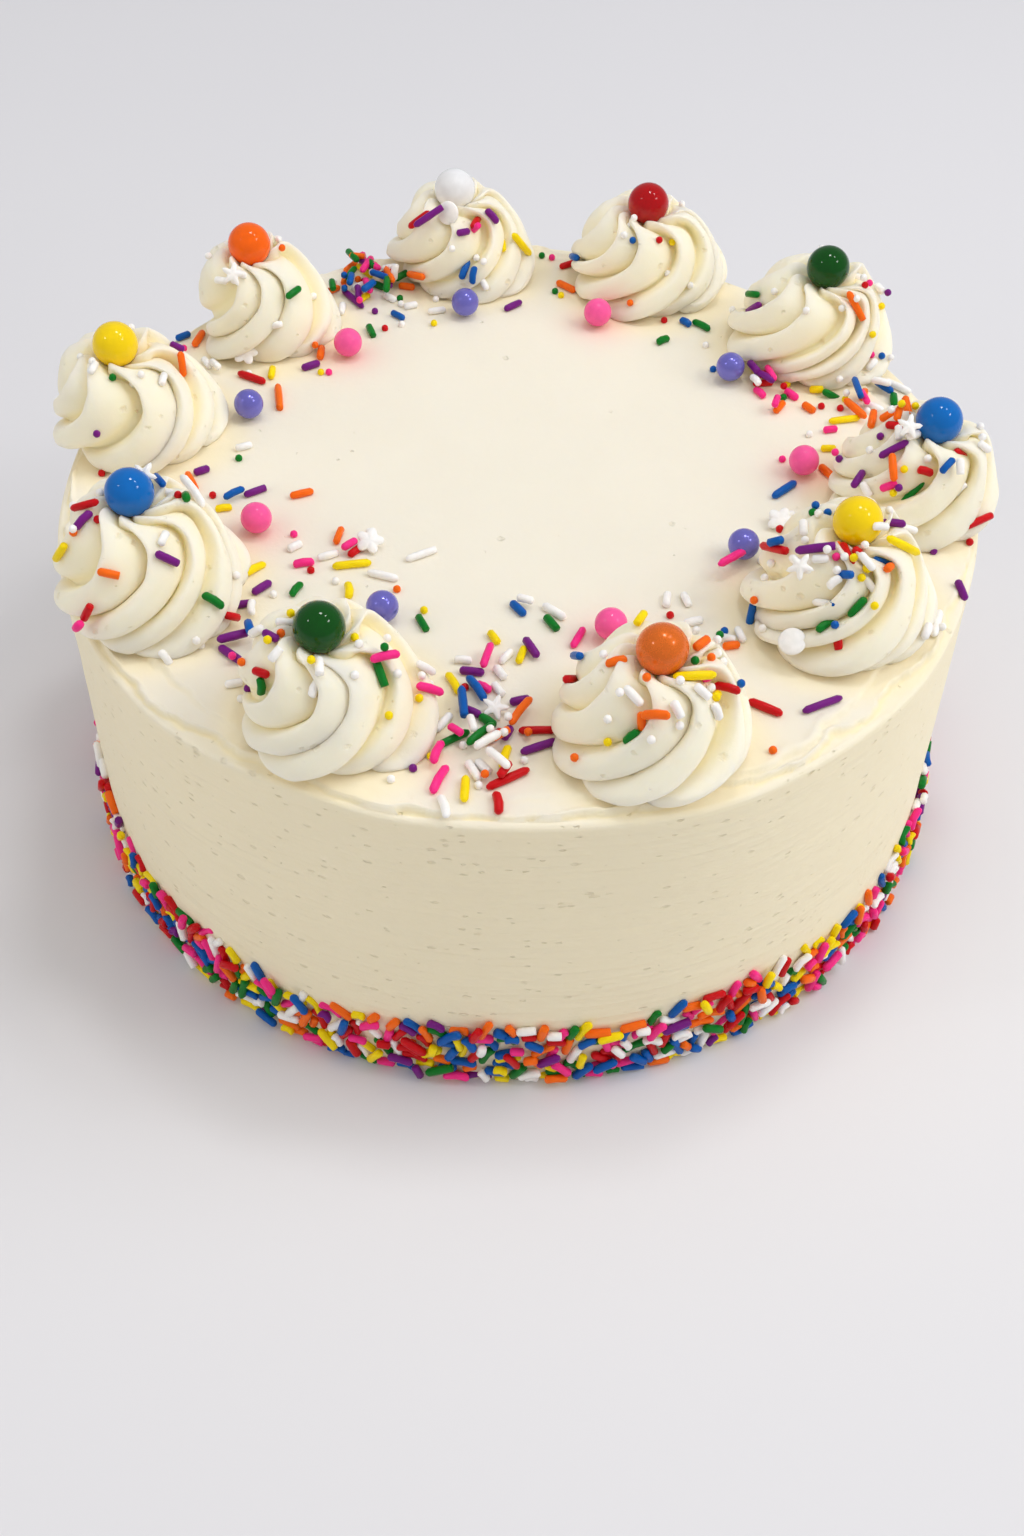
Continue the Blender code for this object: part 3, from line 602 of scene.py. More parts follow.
def iced_body(material, stains):
    around = 640
    turns = ring_turns(around)
    wave = np.sin(5 * turns + 0.6) + 0.7 * np.sin(11 * turns + 2.1)
    # where the top's last strokes of the palette knife ended, in from the rim
    inner_edge = 0.0086 + 0.0055 * wander(turns, 0.045, 1) + 0.0022 * wander(turns, 0.014, 2)
    outer_edge = 0.0028 + 0.0027 * wander(turns, 0.032, 3) + 0.0013 * wander(turns, 0.011, 4)
    outer_edge = np.maximum(outer_edge, 0.0006)
    inner_edge = np.maximum(inner_edge, outer_edge + 0.0015)
    soft = 0.0004 + 0.0022 * smoothstep(-0.2, 0.5, wander(turns, 0.028, 14))
    lip = 0.0007 * smoothstep(-0.2, 0.4, wander(turns, 0.016, 5))
    fold = smoothstep(-0.3, 0.4, wander(turns, 0.040, 15))
    corner = 0.0011 + 0.0007 * wander(turns, 0.060, 6)

    # each ring: its distances from the axis, its heights, and its part of the body
    under, side, rim, top = range(4)
    rings, lines = [], []
    for out in (0.05, 0.0995):
        rings.append((np.full(around, out), np.zeros(around), under))
    for share in np.linspace(0, 1, 44):
        up = share * SHOULDER
        out = wall_at(up) + RIM_WOBBLE * wave * share
        rings.append((out, np.full(around, up), side))
    edge = CAKE_RADIUS + RIM_WOBBLE * wave
    drop = 0.0020 * (1 + 0.30 * wander(turns, 0.020, 16))
    for share in np.linspace(0.08, 1, 10):
        turn = share * math.pi / 2
        height = CAKE_HEIGHT - drop - corner
        start = SHOULDER + (height - SHOULDER) * min(1, share * 4)
        rings.append((edge - corner * (1 - math.cos(turn)), start + corner * math.sin(turn), rim))
    ledge = edge - corner
    for inset in list(np.linspace(0.0003, 0.0175, 60)) + list(np.linspace(0.0190, 0.100, 32)):
        out = np.maximum(ledge - inset, 0.002)
        flat = round_z(out, turns, 0)
        torn = 0.0016 * rumple(flat, 0.0070, 12) + 0.0007 * rumple(flat, 0.0024, 13)
        from_rim = edge - out + torn
        step = 0.55 * smoothstep(-0.0001, 0.0003, from_rim - outer_edge)
        stroke_end = smoothstep(-0.0003, soft, from_rim - inner_edge)
        slope = smoothstep(-0.002, 0.006, from_rim - outer_edge)
        step += 0.45 * (fold * stroke_end + (1 - fold) * slope)
        up = CAKE_HEIGHT - drop * (1 - step)
        up += 0.00035 * rumple(flat, 0.0026, 17) * np.exp(-((from_rim - outer_edge) / 0.0016) ** 2)
        up += lip * np.exp(-((from_rim - outer_edge - 0.0006) / 0.0006) ** 2)
        up += 0.5 * lip * fold * np.exp(-((from_rim - inner_edge - 0.0012) / 0.0009) ** 2)
        rings.append((out, up, top))
        # painted shade: a yellowish shadow line just under each knife edge of the rim
        lines.append(0.75 * np.exp(-((from_rim - outer_edge + 0.0003) / 0.0006) ** 2)
                     + 0.35 * fold * np.exp(-((from_rim - inner_edge) / 0.0008) ** 2))

    outs = np.array([ring[0] for ring in rings])
    ups = np.array([ring[1] for ring in rings])
    parts = np.array([ring[2] for ring in rings])[:, None]
    points = round_z(outs, turns, ups)
    # the knife's sweep round the side, then slow swells
    swept = points * np.array([0.12, 0.12, 1.0])
    push = 0.00016 * rumple(swept, 0.0045, 8) + 0.00030 * rumple(points, 0.035, 9)
    push = np.where(parts == under, 0, push) * np.where(parts == top, 0.3, 1.0)
    outs = outs + push * np.minimum(1, ups / 0.002)
    swell = 0.00022 * rumple(points, 0.030, 10) + 0.00009 * rumple(points * np.array([1, 1, 0]), 0.008, 11)
    ups = ups + np.where(parts == top, swell, 0)
    points = round_z(outs, turns, ups)
    crown = (0, 0, float(ups[-1].mean()))
    mesh = shell_mesh("iced_body", points, (0, 0, 0), crown)

    places = np.concatenate([points.reshape(-1, 3), [[0, 0, 0], crown]])
    # painted shade: the side is painted yellower and darker than the top, as it lies in shade, and the rim's
    # shadow lines are laid over it
    hollow = 0.56 * (1 - smoothstep(CAKE_HEIGHT - 0.004, CAKE_HEIGHT - 0.0005, places[:, 2]))
    first = (len(rings) - len(lines)) * around
    hollow[first:-2] += np.concatenate(lines) * (1 - hollow[first:-2])
    # painted shade: a ring of warm shade round the foot of each swirl
    for swirl in SWIRLS.values():
        middle = swirl_place(swirl)
        away = np.hypot(places[:, 0] - middle.x, places[:, 1] - middle.y) - swirl.foot * MM
        beside = np.exp(-(np.maximum(away, 0) / 0.0045) ** 2) * (places[:, 2] > CAKE_HEIGHT - 0.004)
        hollow = np.maximum(hollow, 0.55 * beside)
    paint(mesh, "hollow", np.clip(hollow, 0, 1))
    paint(mesh, "dye", stain_colours(places, stains))
    return add_piece("iced_body", mesh, material, ["cake_body"])


def stain_colours(places, stains):
    """How much colour has bled into the icing from each stain: (place, colour, reach, strength)."""
    tint = np.ones((len(places), 4))
    strength = np.zeros(len(places))
    for place, colour, reach, most in stains:
        near = np.linalg.norm(places - np.array(place), axis=1)
        share = most * np.exp(-((near / reach) ** 2))
        total = (strength + share + 1e-9)[:, None]
        tint[:, :3] = (tint[:, :3] * (strength + 1e-9)[:, None] + np.array(colour) * share[:, None]) / total
        strength = strength + share
    tint[:, 3] = np.clip(strength, 0, 0.6)
    return tint


# The piped swirls

# The skin from the foot to under the ball: shares of the foot's radius and of the height
SWIRL_SIDE = [(0.0, 0.86, -0.05), (0.06, 0.93, 0.0), (0.13, 0.985, 0.07), (0.20, 1.0, 0.16),
              (0.34, 0.965, 0.38), (0.50, 0.85, 0.66), (0.64, 0.69, 0.90), (0.76, 0.52, 1.04),
              (0.86, 0.36, 1.08), (0.93, 0.2, 1.0), (1.0, 0.03, 0.90)]
# Across one ribbon, from its groove to the next: a raised edge near the crown, a round back at the foot
RIBBON_HIGH = [(0, 0), (0.05, 0.42), (0.12, 0.84), (0.22, 1.0), (0.36, 0.95), (0.52, 0.79),
               (0.68, 0.59), (0.82, 0.38), (0.93, 0.16), (1, 0)]
RIBBON_LOW = [(0, 0), (0.05, 0.28), (0.14, 0.65), (0.29, 0.90), (0.5, 1.0), (0.72, 0.94), (0.87, 0.68),
              (0.95, 0.32), (1, 0)]
# How deep the grooves are at each level, in millimetres
GROOVE_DEPTH = [(0, 4.8), (0.15, 5.0), (0.35, 4.4), (0.6, 4.2), (0.75, 3.6), (0.85, 2.9), (0.92, 1.8),
                (1.0, 0.1)]
# How far a ribbon has wound round by each level, in degrees, and how its crest leans over its groove
RIBBON_TURN = [(0, -38), (0.15, -20), (0.3, 8), (0.45, 38), (0.57, 60), (0.68, 68), (0.77, 60),
               (0.85, 40), (0.93, 18), (1.0, 2)]
RIBBON_LEAN = [(0, 0.18), (0.25, 0.13), (0.45, -0.05), (0.62, -0.30), (0.78, -0.34), (0.88, -0.18),
               (1.0, 0.0)]


def piped_skin(name, swirl, seed):
    """Rings of points over one swirl, and how much shade is painted at each of them, most deep in a groove.
    """
    chance = random.Random(seed)
    levels, across = 84, 26
    steps = swirl.lobes * across
    # a column of levels, to go with the rows of points round the swirl
    level = np.linspace(0, 1, levels)[:, None] ** 0.92
    out = swirl.foot * smooth_through([(k[0], k[1]) for k in SWIRL_SIDE], level)
    up = swirl.height * smooth_through([(k[0], k[2]) for k in SWIRL_SIDE], level)
    slope_out, slope_up = np.gradient(out, axis=0), np.gradient(up, axis=0)
    length = np.hypot(slope_out, slope_up)
    face_out, face_up = slope_up / length, -slope_out / length

    widths = np.array([chance.uniform(0.68, 1.3) for _ in range(swirl.lobes)])
    starts = np.concatenate([[0], np.cumsum(widths)]) / widths.sum()
    number = np.arange(steps) // across
    within = (np.arange(steps) % across) / across
    angle = 2 * math.pi * (starts[number] + within * (starts[number + 1] - starts[number]))
    wide = 2 * math.pi * (starts[number + 1] - starts[number])

    def by_ribbon(least, most):
        """A value for each ribbon, given at each of its points."""
        return np.array([chance.uniform(least, most) for _ in range(swirl.lobes)])[number]

    mix = smoothstep(0.22, 0.62, level)
    crest = smooth_through(RIBBON_LOW, within) * (1 - mix) + smooth_through(RIBBON_HIGH, within) * mix
    reach, sag = by_ribbon(-1, 1), by_ribbon(-1, 1)
    tall, bend = by_ribbon(0.78, 1.15), by_ribbon(-1, 1)
    foot_share = 1 - smoothstep(0.1, 0.55, level)

    sunk = smooth_through(GROOVE_DEPTH, level) * tall * (1 - crest)
    radius = (out - sunk * face_out) * (1 + 0.14 * reach * foot_share * crest)
    height = up - sunk * face_up * 0.9
    height = height + 0.7 * bend * crest * smoothstep(0.5, 0.8, level)
    height = height + 1.5 * sag * foot_share * crest * smoothstep(0.02, 0.15, level)
    turn = angle + np.radians(smooth_through(RIBBON_TURN, level)) * chance.uniform(0.9, 1.12)
    turn = turn + smooth_through(RIBBON_LEAN, level) * wide * crest
    turn = turn + 0.22 * bend * wide * np.sin(np.pi * level)

    rising = np.clip(up / swirl.height, 0, 1) ** 1.5
    x = swirl.lean[0] * rising + radius * np.cos(turn)
    y = swirl.lean[1] * rising + radius * np.sin(turn)
    points = np.stack([x, y, height], axis=-1) * MM
    facing = round_z(face_out, turn, face_up)
    lump = 0.00032 * rumple(points, 0.0075, seed) + 0.00012 * rumple(points, 0.0028, seed + 40)
    points = points + facing * lump[..., None]
    points = points + np.array(swirl_place(swirl))
    # no ribbon reaches past its solid
    low, high = (np.array(corner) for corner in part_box("swirl_" + name))
    middle = np.array(swirl_place(swirl))
    for axis in (0, 1):
        offset = points[..., axis] - middle[axis]
        outward, inward = offset.max(), offset.min()
        offset = np.where(offset > 0, offset * min(1, (high[axis] - middle[axis]) / outward),
                          offset * min(1, (low[axis] - middle[axis]) / inward))
        points[..., axis] = middle[axis] + offset

    # the crown is pressed in by its ball
    centre = np.array(ball_place(swirl))
    away = points - centre
    distance = np.linalg.norm(away, axis=-1, keepdims=True)
    points = np.where(distance < BALL_SEAT, centre + away / np.maximum(distance, 1e-9) * BALL_SEAT, points)
    # painted shade: deep in each groove the icing is painted a warm yellow shade
    groove = np.clip(1 - crest, 0, 1)
    hollow = groove ** 2 * (1 - mix) + 0.85 * groove ** 1.3 * mix
    hollow = np.clip(hollow * smoothstep(0.0, 0.15, level), 0, 1)
    return points, hollow


def piped_swirl(name, swirl, seed, material, stains):
    points, hollow = piped_skin(name, swirl, seed)
    foot = points[0].mean(axis=0)
    crown = points[-1].mean(axis=0)
    centre = np.array(ball_place(swirl))
    if np.linalg.norm(crown - centre) < BALL_RADIUS:
        crown = centre - np.array([0, 0, BALL_SEAT])
    mesh = shell_mesh("piped_" + name, points, foot, crown)
    # painted shade: the crown's pole under the ball is painted shaded
    paint(mesh, "hollow", np.concatenate([hollow.ravel(), [0.0, 0.6]]))
    places = np.concatenate([points.reshape(-1, 3), [foot, crown]])
    paint(mesh, "dye", stain_colours(places, stains))
    return add_piece("piped_" + name, mesh, material, ["swirl_" + name])


# Sugar balls and pearls

def sugar_ball(name, node, radius, material, seed):
    """A panned ball: round, but for the faint flats that tumbling leaves."""
    centre = np.array(middle_of(node))
    rings = ball_rings(56, 28)
    uneven = radius * (BALL_MEAN + BALL_FLATS * rumple(rings * radius, radius * 0.9, seed))
    points = centre + rings * uneven[..., None]
    mesh = shell_mesh(name, points, centre - (0, 0, radius * BALL_MEAN), centre + (0, 0, radius * BALL_MEAN))
    return add_piece(name, mesh, material, [node])


# Sprinkles, laid by Geometry Nodes

def strand_form(name, bend, squeeze=1.0, broken=False):
    """One sugar strand of ordinary size along Z, with a rounded or a snapped end."""
    half = STRAND_LENGTH / 2
    r = STRAND_RADIUS
    rings = [(-half + 0.15 * r, 0.53 * r), (-half + 0.66 * r, 0.94 * r), (0.0, r * squeeze),
             (half - 0.66 * r, 0.94 * r), (half - 0.15 * r, 0.53 * r)]
    if broken:
        rings[4] = (half - 0.04 * r, 0.90 * r)
    points = [round_z(out, ring_turns(8), up) + (bend * (1 - (up / half) ** 2), 0, 0) for up, out in rings]
    return shell_mesh(name, points, (0, 0, -half), (0, 0, half))


def bead_form(name):
    return shell_mesh(name, ball_rings(8, 6) * BEAD_RADIUS, (0, 0, -BEAD_RADIUS), (0, 0, BEAD_RADIUS))


def form_collection(name, meshes):
    group = bpy.data.collections.new(name)
    for mesh in meshes:
        group.objects.link(bpy.data.objects.new(mesh.name, mesh))
    return group


def laying_tree():
    """Lays one of the forms on each point, turned and stretched as the point says."""
    tree, given, out = new_group("lay_sprinkles", [
        ("Points", "Geometry", None), ("Forms", "Collection", None), ("Sugar", "Material", None),
        ("Thickness", "Float", 1.0), ("Unevenness", "Float", 0.06), ("Seed", "Int", 1),
    ], [("Sprinkles", "Geometry")], "GeometryNodeTree")
    forms = add_node(tree, "GeometryNodeCollectionInfo", {
        "Collection": given.outputs["Forms"], "Separate Children": True, "Reset Children": True,
    })
    turn = add_node(tree, "GeometryNodeInputNamedAttribute", {"Name": "turn"}, data_type="FLOAT_VECTOR")
    stretch = add_node(tree, "GeometryNodeInputNamedAttribute", {"Name": "stretch"}, data_type="FLOAT")
    # a random value takes the ends of its range at 4 and 5 for whole numbers, at 2 and 3 for others
    pick = add_node(tree, "FunctionNodeRandomValue", {
        4: 0, 5: 99, "Seed": given.outputs["Seed"],
    }, data_type="INT")
    thin = math_node(tree, "SUBTRACT", given.outputs["Thickness"], given.outputs["Unevenness"])
    thick = math_node(tree, "ADD", given.outputs["Thickness"], given.outputs["Unevenness"])
    girth = add_node(tree, "FunctionNodeRandomValue", {
        2: thin, 3: thick, "Seed": given.outputs["Seed"],
    }, data_type="FLOAT")
    size = add_node(tree, "ShaderNodeCombineXYZ", {
        "X": girth.outputs[1], "Y": girth.outputs[1], "Z": stretch.outputs["Attribute"],
    })
    rotation = add_node(tree, "FunctionNodeEulerToRotation", {"Euler": turn.outputs["Attribute"]})
    laid = add_node(tree, "GeometryNodeInstanceOnPoints", {
        "Points": given.outputs["Points"], "Instance": forms.outputs[0], "Pick Instance": True,
        "Instance Index": pick.outputs[2], "Rotation": rotation.outputs[0], "Scale": size.outputs[0],
    })
    real = add_node(tree, "GeometryNodeRealizeInstances", {"Geometry": laid.outputs[0]})
    dressed = add_node(tree, "GeometryNodeSetMaterial", {
        "Geometry": real.outputs[0], "Material": given.outputs["Sugar"],
    })
    tree.links.new(dressed.outputs[0], out.inputs[0])
    return tree


def lay(name, tree, spots, forms, sugar, seed, nodes=(), thickness=1.0, unevenness=0.06):
    """The sprinkles of one kind as one piece. Each spot is (middle, axis, stretch)."""
    points = bpy.data.meshes.new(name + "_spots")
    points.from_pydata([tuple(spot[0]) for spot in spots], [], [])
    turns = [Vector(spot[1]).to_track_quat("Z", "Y").to_euler() for spot in spots]
    turn_layer = points.attributes.new("turn", "FLOAT_VECTOR", "POINT")
    turn_layer.data.foreach_set("vector", np.array([tuple(turn) for turn in turns], np.float32).ravel())
    stretch_layer = points.attributes.new("stretch", "FLOAT", "POINT")
    stretch_layer.data.foreach_set("value", np.array([spot[2] for spot in spots], np.float32))
    holder = new_object(name + "_spots", points)
    modifier = holder.modifiers.new("laid", "NODES")
    modifier.node_group = tree
    given = {"Forms": forms, "Sugar": sugar, "Thickness": thickness, "Unevenness": unevenness, "Seed": seed}
    for item in tree.interface.items_tree:
        if item.in_out == "INPUT" and item.name in given:
            modifier[item.identifier] = given[item.name]
    graph = bpy.context.evaluated_depsgraph_get()
    mesh = bpy.data.meshes.new_from_object(holder.evaluated_get(graph))
    holder.modifiers.clear()
    bpy.data.objects.remove(holder, do_unlink=True)
    mesh.name = name
    mesh.shade_smooth()
    return add_piece(name, mesh, None, nodes)


# The band round the foot

def band_spots(chance):
    """Strands packed over the foot of the side, layer on layer, none through its neighbour."""
    spots, held = [], np.zeros((0, 3))
    for depth, tries, steepest, most in BAND_LAYERS:
        for _ in range(tries):
            bearing = chance.uniform(0, 2 * math.pi)
            length = STRAND_LENGTH * chance.choice((0.55, 0.75, 0.9, 1.0, 1.0, 1.15))
            tilt = chance.uniform(-steepest, steepest)
            top = most + 0.12 * most * math.sin(7 * bearing) * math.sin(3 * bearing + 1)
            low = STRAND_RADIUS + 0.5 * (length - 2 * STRAND_RADIUS) * abs(math.sin(tilt)) + 0.0003
            height = low + max(0, top - low) * chance.random() ** 1.15
            out = Vector((math.cos(bearing), math.sin(bearing), 0))
            along = Vector((-out.y, out.x, 0))
            axis = math.cos(tilt) * along + Vector((0, 0, math.sin(tilt)))
            axis += 0.10 * chance.uniform(-1, 1) * out
            axis.normalize()
            stand_off = wall_at(height) + depth + chance.uniform(-0.0002, 0.0001)
            middle = out * stand_off + Vector((0, 0, height))
            arm = axis * (length / 2 - STRAND_RADIUS)
            trio = np.array([middle - arm, middle, middle + arm])
            away = np.linalg.norm(held[None] - trio[:, None], axis=2)
            if (away < BAND_ROOM).any():
                continue
            held = np.concatenate([held, trio])
            spots.append((middle, axis, length / STRAND_LENGTH))
    return spots


# What is strewn on top

class Icing:
    """The icing's surface, which sprinkles lie on, and what already lies there."""

    def __init__(self, pieces):
        points, faces = [], []
        for piece in pieces:
            start = len(points)
            points += [vertex.co.copy() for vertex in piece.data.vertices]
            faces += [tuple(start + corner for corner in face.vertices) for face in piece.data.polygons]
        self.tree = BVHTree.FromPolygons(points, faces)
        self.held = np.array([tuple(ball_place(swirl)) for swirl in SWIRLS.values()]
                             + [tuple(middle_of("pearl_" + name)) for name in PEARLS])
        self.room = np.array([BALL_RADIUS] * len(SWIRLS) + [PEARL_RADIUS] * len(PEARLS))

    def seen_at(self, x, y):
        """The place and facing of the icing that shows at a pixel of the frame."""
        camera = bpy.context.scene.camera
        turn = camera.rotation_euler.to_matrix()
        way = turn @ Vector(((x - FRAME_WIDTH / 2) / FOCAL, (FRAME_HEIGHT / 2 - y) / FOCAL, -1))
        place, normal, _, _ = self.tree.ray_cast(camera.location, way.normalized())
        return place, normal

    def below(self, place):
        return self.tree.ray_cast(place + Vector((0, 0, 0.04)), Vector((0, 0, -1)))[:2]

    def beside_balls(self, middle, axis, arm):
        """The middle of a strand, slid back along itself until it reaches into no ball."""
        balls = self.held[:len(SWIRLS)]
        for _ in range(10):
            trio = np.array([tuple(middle + side * arm * axis) for side in (-1, 0, 1)])
            away = np.linalg.norm(balls[None] - trio[:, None], axis=2).min(axis=0)
            if away.min() > BALL_RADIUS + TOUCH * STRAND_RADIUS:
                break
            nearest = Vector(balls[away.argmin()])
            middle = middle + axis * math.copysign(STEP, (middle - nearest).dot(axis))
        return middle

    def lift(self, places, normal, radius):
        """How far something must rise to rest on what lies there already."""
        for step in range(12):
            rise = step * STEP
            lifted = np.array([tuple(place + normal * rise) for place in places])
            away = np.linalg.norm(self.held[None] - lifted[:, None], axis=2)
            if (away > self.room[None] + radius * TOUCH).all():
                break
        self.held = np.concatenate([self.held, lifted])
        self.room = np.concatenate([self.room, np.full(len(lifted), radius * TOUCH)])
        return rise


def strewn_spot(icing, x, y, turn, length):
    """Where one strand rests, from where it is seen: (middle, axis, stretch)."""
    place, normal = icing.seen_at(x, y)
    if place is None:
        return None
    angle = math.radians(turn)
    across, down = math.cos(angle), math.sin(angle)
    reach = max(1.0, length / 2 - 4)
    ends = [icing.seen_at(x + side * reach * across, y + side * reach * down)[0] for side in (-1, 1)]
    pixel = (bpy.context.scene.camera.location - place).length / FOCAL
    if None in ends or (ends[1] - ends[0]).length > 3.2 * reach * pixel + 0.001:
        # its ends would lie on two ribbons, so it lies flat on the one under its middle
        beside = icing.seen_at(x + 1.5 * across, y + 1.5 * down)[0]
        axis = (beside - place) if beside is not None else Vector((across, -down, 0))
        whole = length * pixel
    else:
        axis = ends[1] - ends[0]
        whole = axis.length + 2 * STRAND_RADIUS
    axis = (axis - 0.6 * axis.dot(normal) * normal).normalized()
    whole = min(max(1.06 * whole, 0.0030), 0.0100)
    middle = place + normal * STRAND_RADIUS * 0.72
    arm_length = whole / 2 - STRAND_RADIUS
    middle = icing.beside_balls(middle, axis, arm_length)
    arm = axis * arm_length
    middle = middle + normal * icing.lift([middle - arm, middle, middle + arm], normal, STRAND_RADIUS)
    return middle, axis, whole / STRAND_LENGTH


def bead_spot(icing, place, normal):
    middle = place + normal * BEAD_RADIUS * 0.6
    middle = middle + normal * icing.lift([middle], normal, BEAD_RADIUS)
    return middle, Vector((0.2, 0.1, 1)), 1.0


def white_beads(icing, chance, number):
    """White beads that rolled round the crowns of the swirls and among the strands."""
    spots = []
    heaps = [(swirl_place(swirl) + Vector((swirl.lean[0] * MM, swirl.lean[1] * MM, 0)), 0.0085)
             for swirl in SWIRLS.values()]
    heaps += [(polar(bearing, distance * MM), 0.009) for bearing, distance in WHITE_HEAPS]
    while len(spots) < number:
        centre, spread = heaps[len(spots) % len(heaps)]
        spot = centre + Vector((chance.gauss(0, spread), chance.gauss(0, spread), CAKE_HEIGHT))
        if math.hypot(spot.x, spot.y) > CAKE_RADIUS - 0.002:
            continue
        place, normal = icing.below(Vector((spot.x, spot.y, CAKE_HEIGHT)))
        if place is None or normal.z < 0.35:
            continue
        balls = icing.held[:len(SWIRLS)]
        away = np.hypot(balls[:, 0] - place.x, balls[:, 1] - place.y)
        if (away < BALL_RADIUS + BEAD_RADIUS + 0.0005).any():
            continue
        spots.append(bead_spot(icing, place, normal))
    return spots


def flat_spot(icing, x, y, radius):
    """Where a flat sugar shape rests on the ribbons under its edge: (middle, facing, stretch)."""
    place, normal = icing.seen_at(x, y)
    if place is None:
        return None
    look = bpy.context.scene.camera.location - place
    facing = (normal + 1.1 * look.normalized()).normalized()
    reach = radius * FOCAL / look.length
    rise = 0.0004
    for step in range(12):
        turn = step * math.pi / 6
        under = icing.seen_at(x + reach * math.cos(turn), y + reach * math.sin(turn))[0]
        if under is not None and (under - place).length < 1.6 * radius:
            rise = max(rise, (under - place).dot(facing))
    middle = place + facing * (rise + 0.0003)
    return middle + facing * icing.lift([middle], facing, 0.0012), facing, 1.0


def confetti_form(name, outline, thick=0.0008):
    """A flat sugar shape with softened edges, from its outline round +Z."""
    outline = np.asarray(outline, float)
    rings = []
    for size, up in ((0.90, -0.5), (1.0, -0.2), (1.0, 0.2), (0.90, 0.5)):
        rings.append(np.concatenate([outline * size, np.full((len(outline), 1), up * thick)], axis=1))
    return shell_mesh(name, rings, (0, 0, -0.5 * thick), (0, 0, 0.55 * thick))


def petalled(points, inner, outer, count, sharp=1.0):
    """An outline with petals, or the points of a star where it is sharp."""
    turns = ring_turns(points)
    reach = inner + (outer - inner) * (0.5 + 0.5 * np.cos(count * turns)) ** sharp
    return round_z(reach, turns, 0)[:, :2]


# Light, floor and camera

def place_light(name, place, target, size, power, colour, gloss):
    light = bpy.data.lights.new(name, "AREA")
    light.shape = "ELLIPSE"
    light.size, light.size_y = size
    light.energy = power
    light.color = colour
    lamp = new_object(name, light)
    lamp.location = place
    lamp.visible_glossy = gloss
    lamp.rotation_euler = (Vector(target) - Vector(place)).to_track_quat("-Z", "Y").to_euler()


def studio():
    world = bpy.data.worlds.new("studio")
    bpy.context.scene.world = world
    world.use_nodes = True
    # the backdrop past the floor looks as pale as the floor, but lights the cake less
    tree = world.node_tree
    looked_at = add_node(tree, "ShaderNodeLightPath").outputs["Is Camera Ray"]
    set_inputs(tree, tree.nodes["Background"], {
        "Color": (0.96, 0.97, 1.0, 1.0), "Strength": math_node(tree, "MULTIPLY_ADD", looked_at, 0.32, 0.42),
    })
    for name, lamp in LAMPS.items():
        place_light(name, *lamp)
    shape = bmesh.new()
    bmesh.ops.create_grid(shape, x_segments=4, y_segments=4, size=2.6)
    mesh = bpy.data.meshes.new("floor")
    shape.to_mesh(mesh)
    shape.free()
    material, tree, shader, place = new_material("pale_floor")
    tone = mix_colours(tree, noise_node(tree, place, 3.0), seen(226, 225, 228), seen(229, 228, 232))
    set_inputs(tree, shader, {"Base Color": tone, "Roughness": 0.7})
    floor = new_object("floor", mesh)
    floor.data.materials.append(material)
    bpy.context.scene.view_settings.view_transform = "Standard"


def photographer():
    data = bpy.data.cameras.new("camera")
    data.sensor_width = 36.0
    data.lens = FOCAL / FRAME_HEIGHT * data.sensor_width
    data.clip_start = 0.01
    camera = new_object("camera", data)
    camera.location = (-0.0003, -0.340, 0.3525)
    tilt = Matrix.Rotation(math.radians(90 - 46.59), 3, "X")
    camera.rotation_euler = (tilt @ Matrix.Rotation(math.radians(1.0), 3, "Z")).to_euler()
    bpy.context.scene.camera = camera


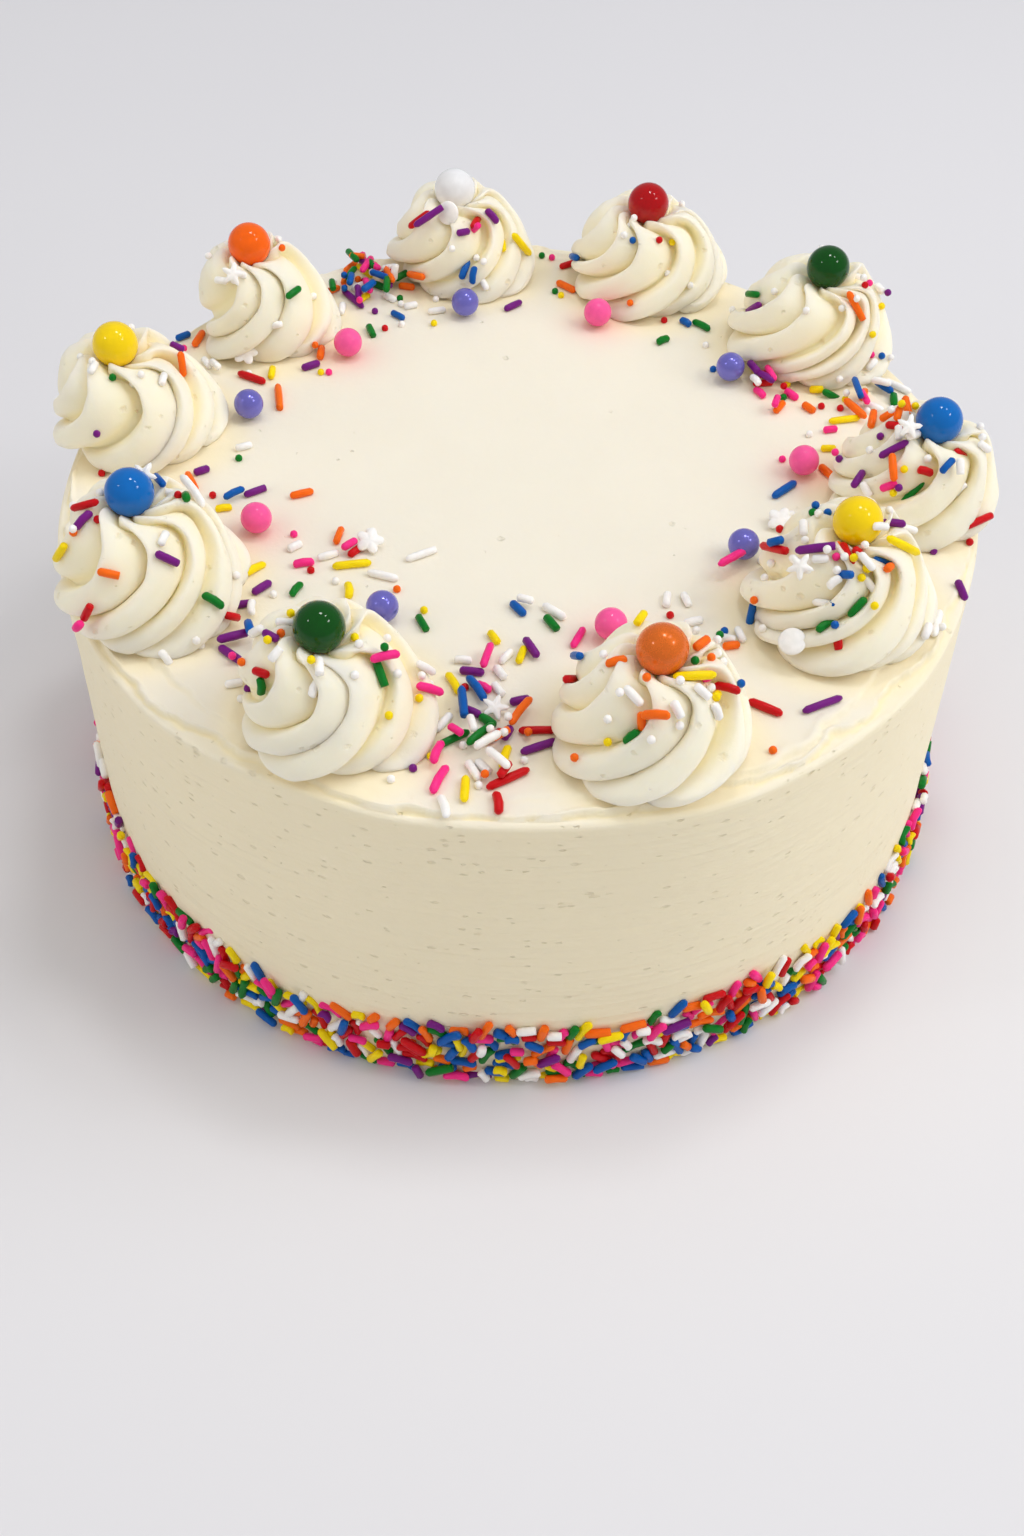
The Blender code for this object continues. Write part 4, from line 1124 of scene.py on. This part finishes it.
def main():
    studio()
    photographer()
    chance = random.Random(11)
    # pink has bled from under the pink pearls, and orange from sprinkles on some swirls
    stains = [(middle_of("pearl_" + name) - Vector((0, 0, PEARL_RADIUS)), PINK_STAIN, 0.0075, 0.40)
              for name, colour in PEARLS.items() if colour == "pink"]
    for name, shift, reach in (
            ("front", (0.006, 0.004, -0.004), 0.006), ("front", (-0.004, -0.007, -0.006), 0.004),
            ("front_left", (0.016, -0.003, -0.016), 0.007), ("right_front", (-0.012, 0.004, -0.008), 0.006),
            ("left", (0.008, 0.004, -0.005), 0.006), ("back_right", (0.006, -0.006, -0.006), 0.006)):
        stains.append((ball_place(SWIRLS[name]) + Vector(shift), ORANGE_STAIN, reach, 0.30))
    smooth_icing = buttercream("smooth_icing", ICING_PALE, ICING_DEEP, 0.0032, 0.40, 2.4, 1.0, 0.2, 0.5)
    piped_icing = buttercream("piped_icing", PIPED_PALE, PIPED_DEEP, 0.0029, 0.34, 1.3, 0.15, 0.6)
    body = iced_body(smooth_icing, stains)
    piped = [piped_swirl(name, swirl, number + 1, piped_icing, stains)
             for number, (name, swirl) in enumerate(SWIRLS.items())]

    shells = {
        "green": candy("ball_green", seen(0, 74, 8), 0.14, depth=0.08),
        "copper": candy("ball_copper", seen(228, 110, 30), 0.26, 0.2, blotch=0.0012, depth=0.03),
        "yellow": candy("ball_yellow", seen(250, 214, 0), 0.16, depth=0.04),
        "blue": candy("ball_blue", seen(0, 105, 189), 0.14),
        "red": candy("ball_red", seen(178, 0, 8), 0.16, depth=0.08),
        "white": candy("ball_white", seen(238, 238, 240), 0.16),
        "orange": candy("ball_orange", seen(252, 102, 0), 0.18, depth=0.07),
    }
    pearls = {
        "pink": candy("pearl_pink", seen(255, 92, 162), 0.22, blotch=0.0015, depth=0.06),
        "violet": candy("pearl_violet", seen(118, 114, 204), 0.20, 0.35, blotch=0.0006, depth=0.04),
    }
    for number, (name, swirl) in enumerate(SWIRLS.items()):
        sugar_ball("sugar_ball_" + name, "ball_" + name, BALL_RADIUS, shells[swirl.colour],
                   number)
    for number, (name, colour) in enumerate(PEARLS.items()):
        sugar_ball("sugar_pearl_" + name, "pearl_" + name, PEARL_RADIUS, pearls[colour],
                   20 + number)

    tree = laying_tree()
    strands = form_collection("strand_forms", [
        strand_form("straight", 0.0), strand_form("nearly_straight", 0.0002, 1.04),
        strand_form("bent", 0.0006, 0.96), strand_form("waisted", 0.0001, 0.86),
        strand_form("curved", 0.0010, 1.0), strand_form("snapped", 0.0, 1.0, True),
    ])
    sugars = {name: strand_sugar("sugar_" + name, seen(*colour)) for name, colour in SUGARS.items()}
    spots = band_spots(chance)
    names = list(BAND_SHARES)
    drawn = chance.choices(names, weights=list(BAND_SHARES.values()), k=len(spots))
    for number, name in enumerate(names):
        mine = [spot for spot, colour in zip(spots, drawn) if colour == name]
        lay("band_" + name, tree, mine, strands, sugars[name], 60 + number, nodes=["sprinkle_band"])

    icing = Icing([body] + piped)
    loose = form_collection("loose_forms", [
        strand_form("loose_straight", 0.0), strand_form("loose_even", 0.0, 1.03),
        strand_form("loose_waisted", 0.0001, 0.94), strand_form("loose_bent", 0.0004, 1.0),
        strand_form("loose_snapped", 0.0, 1.0, True),
    ])
    heaped = {name: [] for name in SUGARS}
    for x, y, spread, number in HEAPS:
        for _ in range(number):
            heaped[chance.choice(names)].append((chance.gauss(x, spread), chance.gauss(y, 0.6 * spread),
                                                 chance.uniform(-90, 90), chance.uniform(12, 20)))
    for number, (name, items) in enumerate(STREWN.items()):
        mine = [strewn_spot(icing, *item) for item in items + heaped[name]]
        lay("strewn_" + name, tree, [spot for spot in mine if spot], loose, sugars[name], 80 + number,
            thickness=0.88)
    bead = form_collection("bead_forms", [bead_form("bead")])
    for number, (name, items) in enumerate(BEADS.items()):
        mine = []
        for x, y in items:
            place, normal = icing.seen_at(x, y)
            if place is not None:
                mine.append(bead_spot(icing, place, normal))
        if name == "white":
            mine += white_beads(icing, chance, WHITE_BEADS)
        lay("beads_" + name, tree, mine, bead, sugars[name], 100 + number, unevenness=0.0)
    outlines = {
        "disc": petalled(28, CONFETTI_RADIUS, CONFETTI_RADIUS, 1),
        "star": petalled(30, 0.0014, 0.0030, 5, 1.6),
        "flower": petalled(40, 0.0020, 0.0032, 5, 0.6),
    }
    for number, (kind, outline) in enumerate(outlines.items()):
        mine = [flat_spot(icing, x, y, CONFETTI_RADIUS) for shape, x, y in CONFETTI if shape == kind]
        form = form_collection(kind + "_forms", [confetti_form(kind, outline)])
        lay("confetti_" + kind, tree, [spot for spot in mine if spot], form, sugars["white"], 120 + number,
            unevenness=0.0)


main()
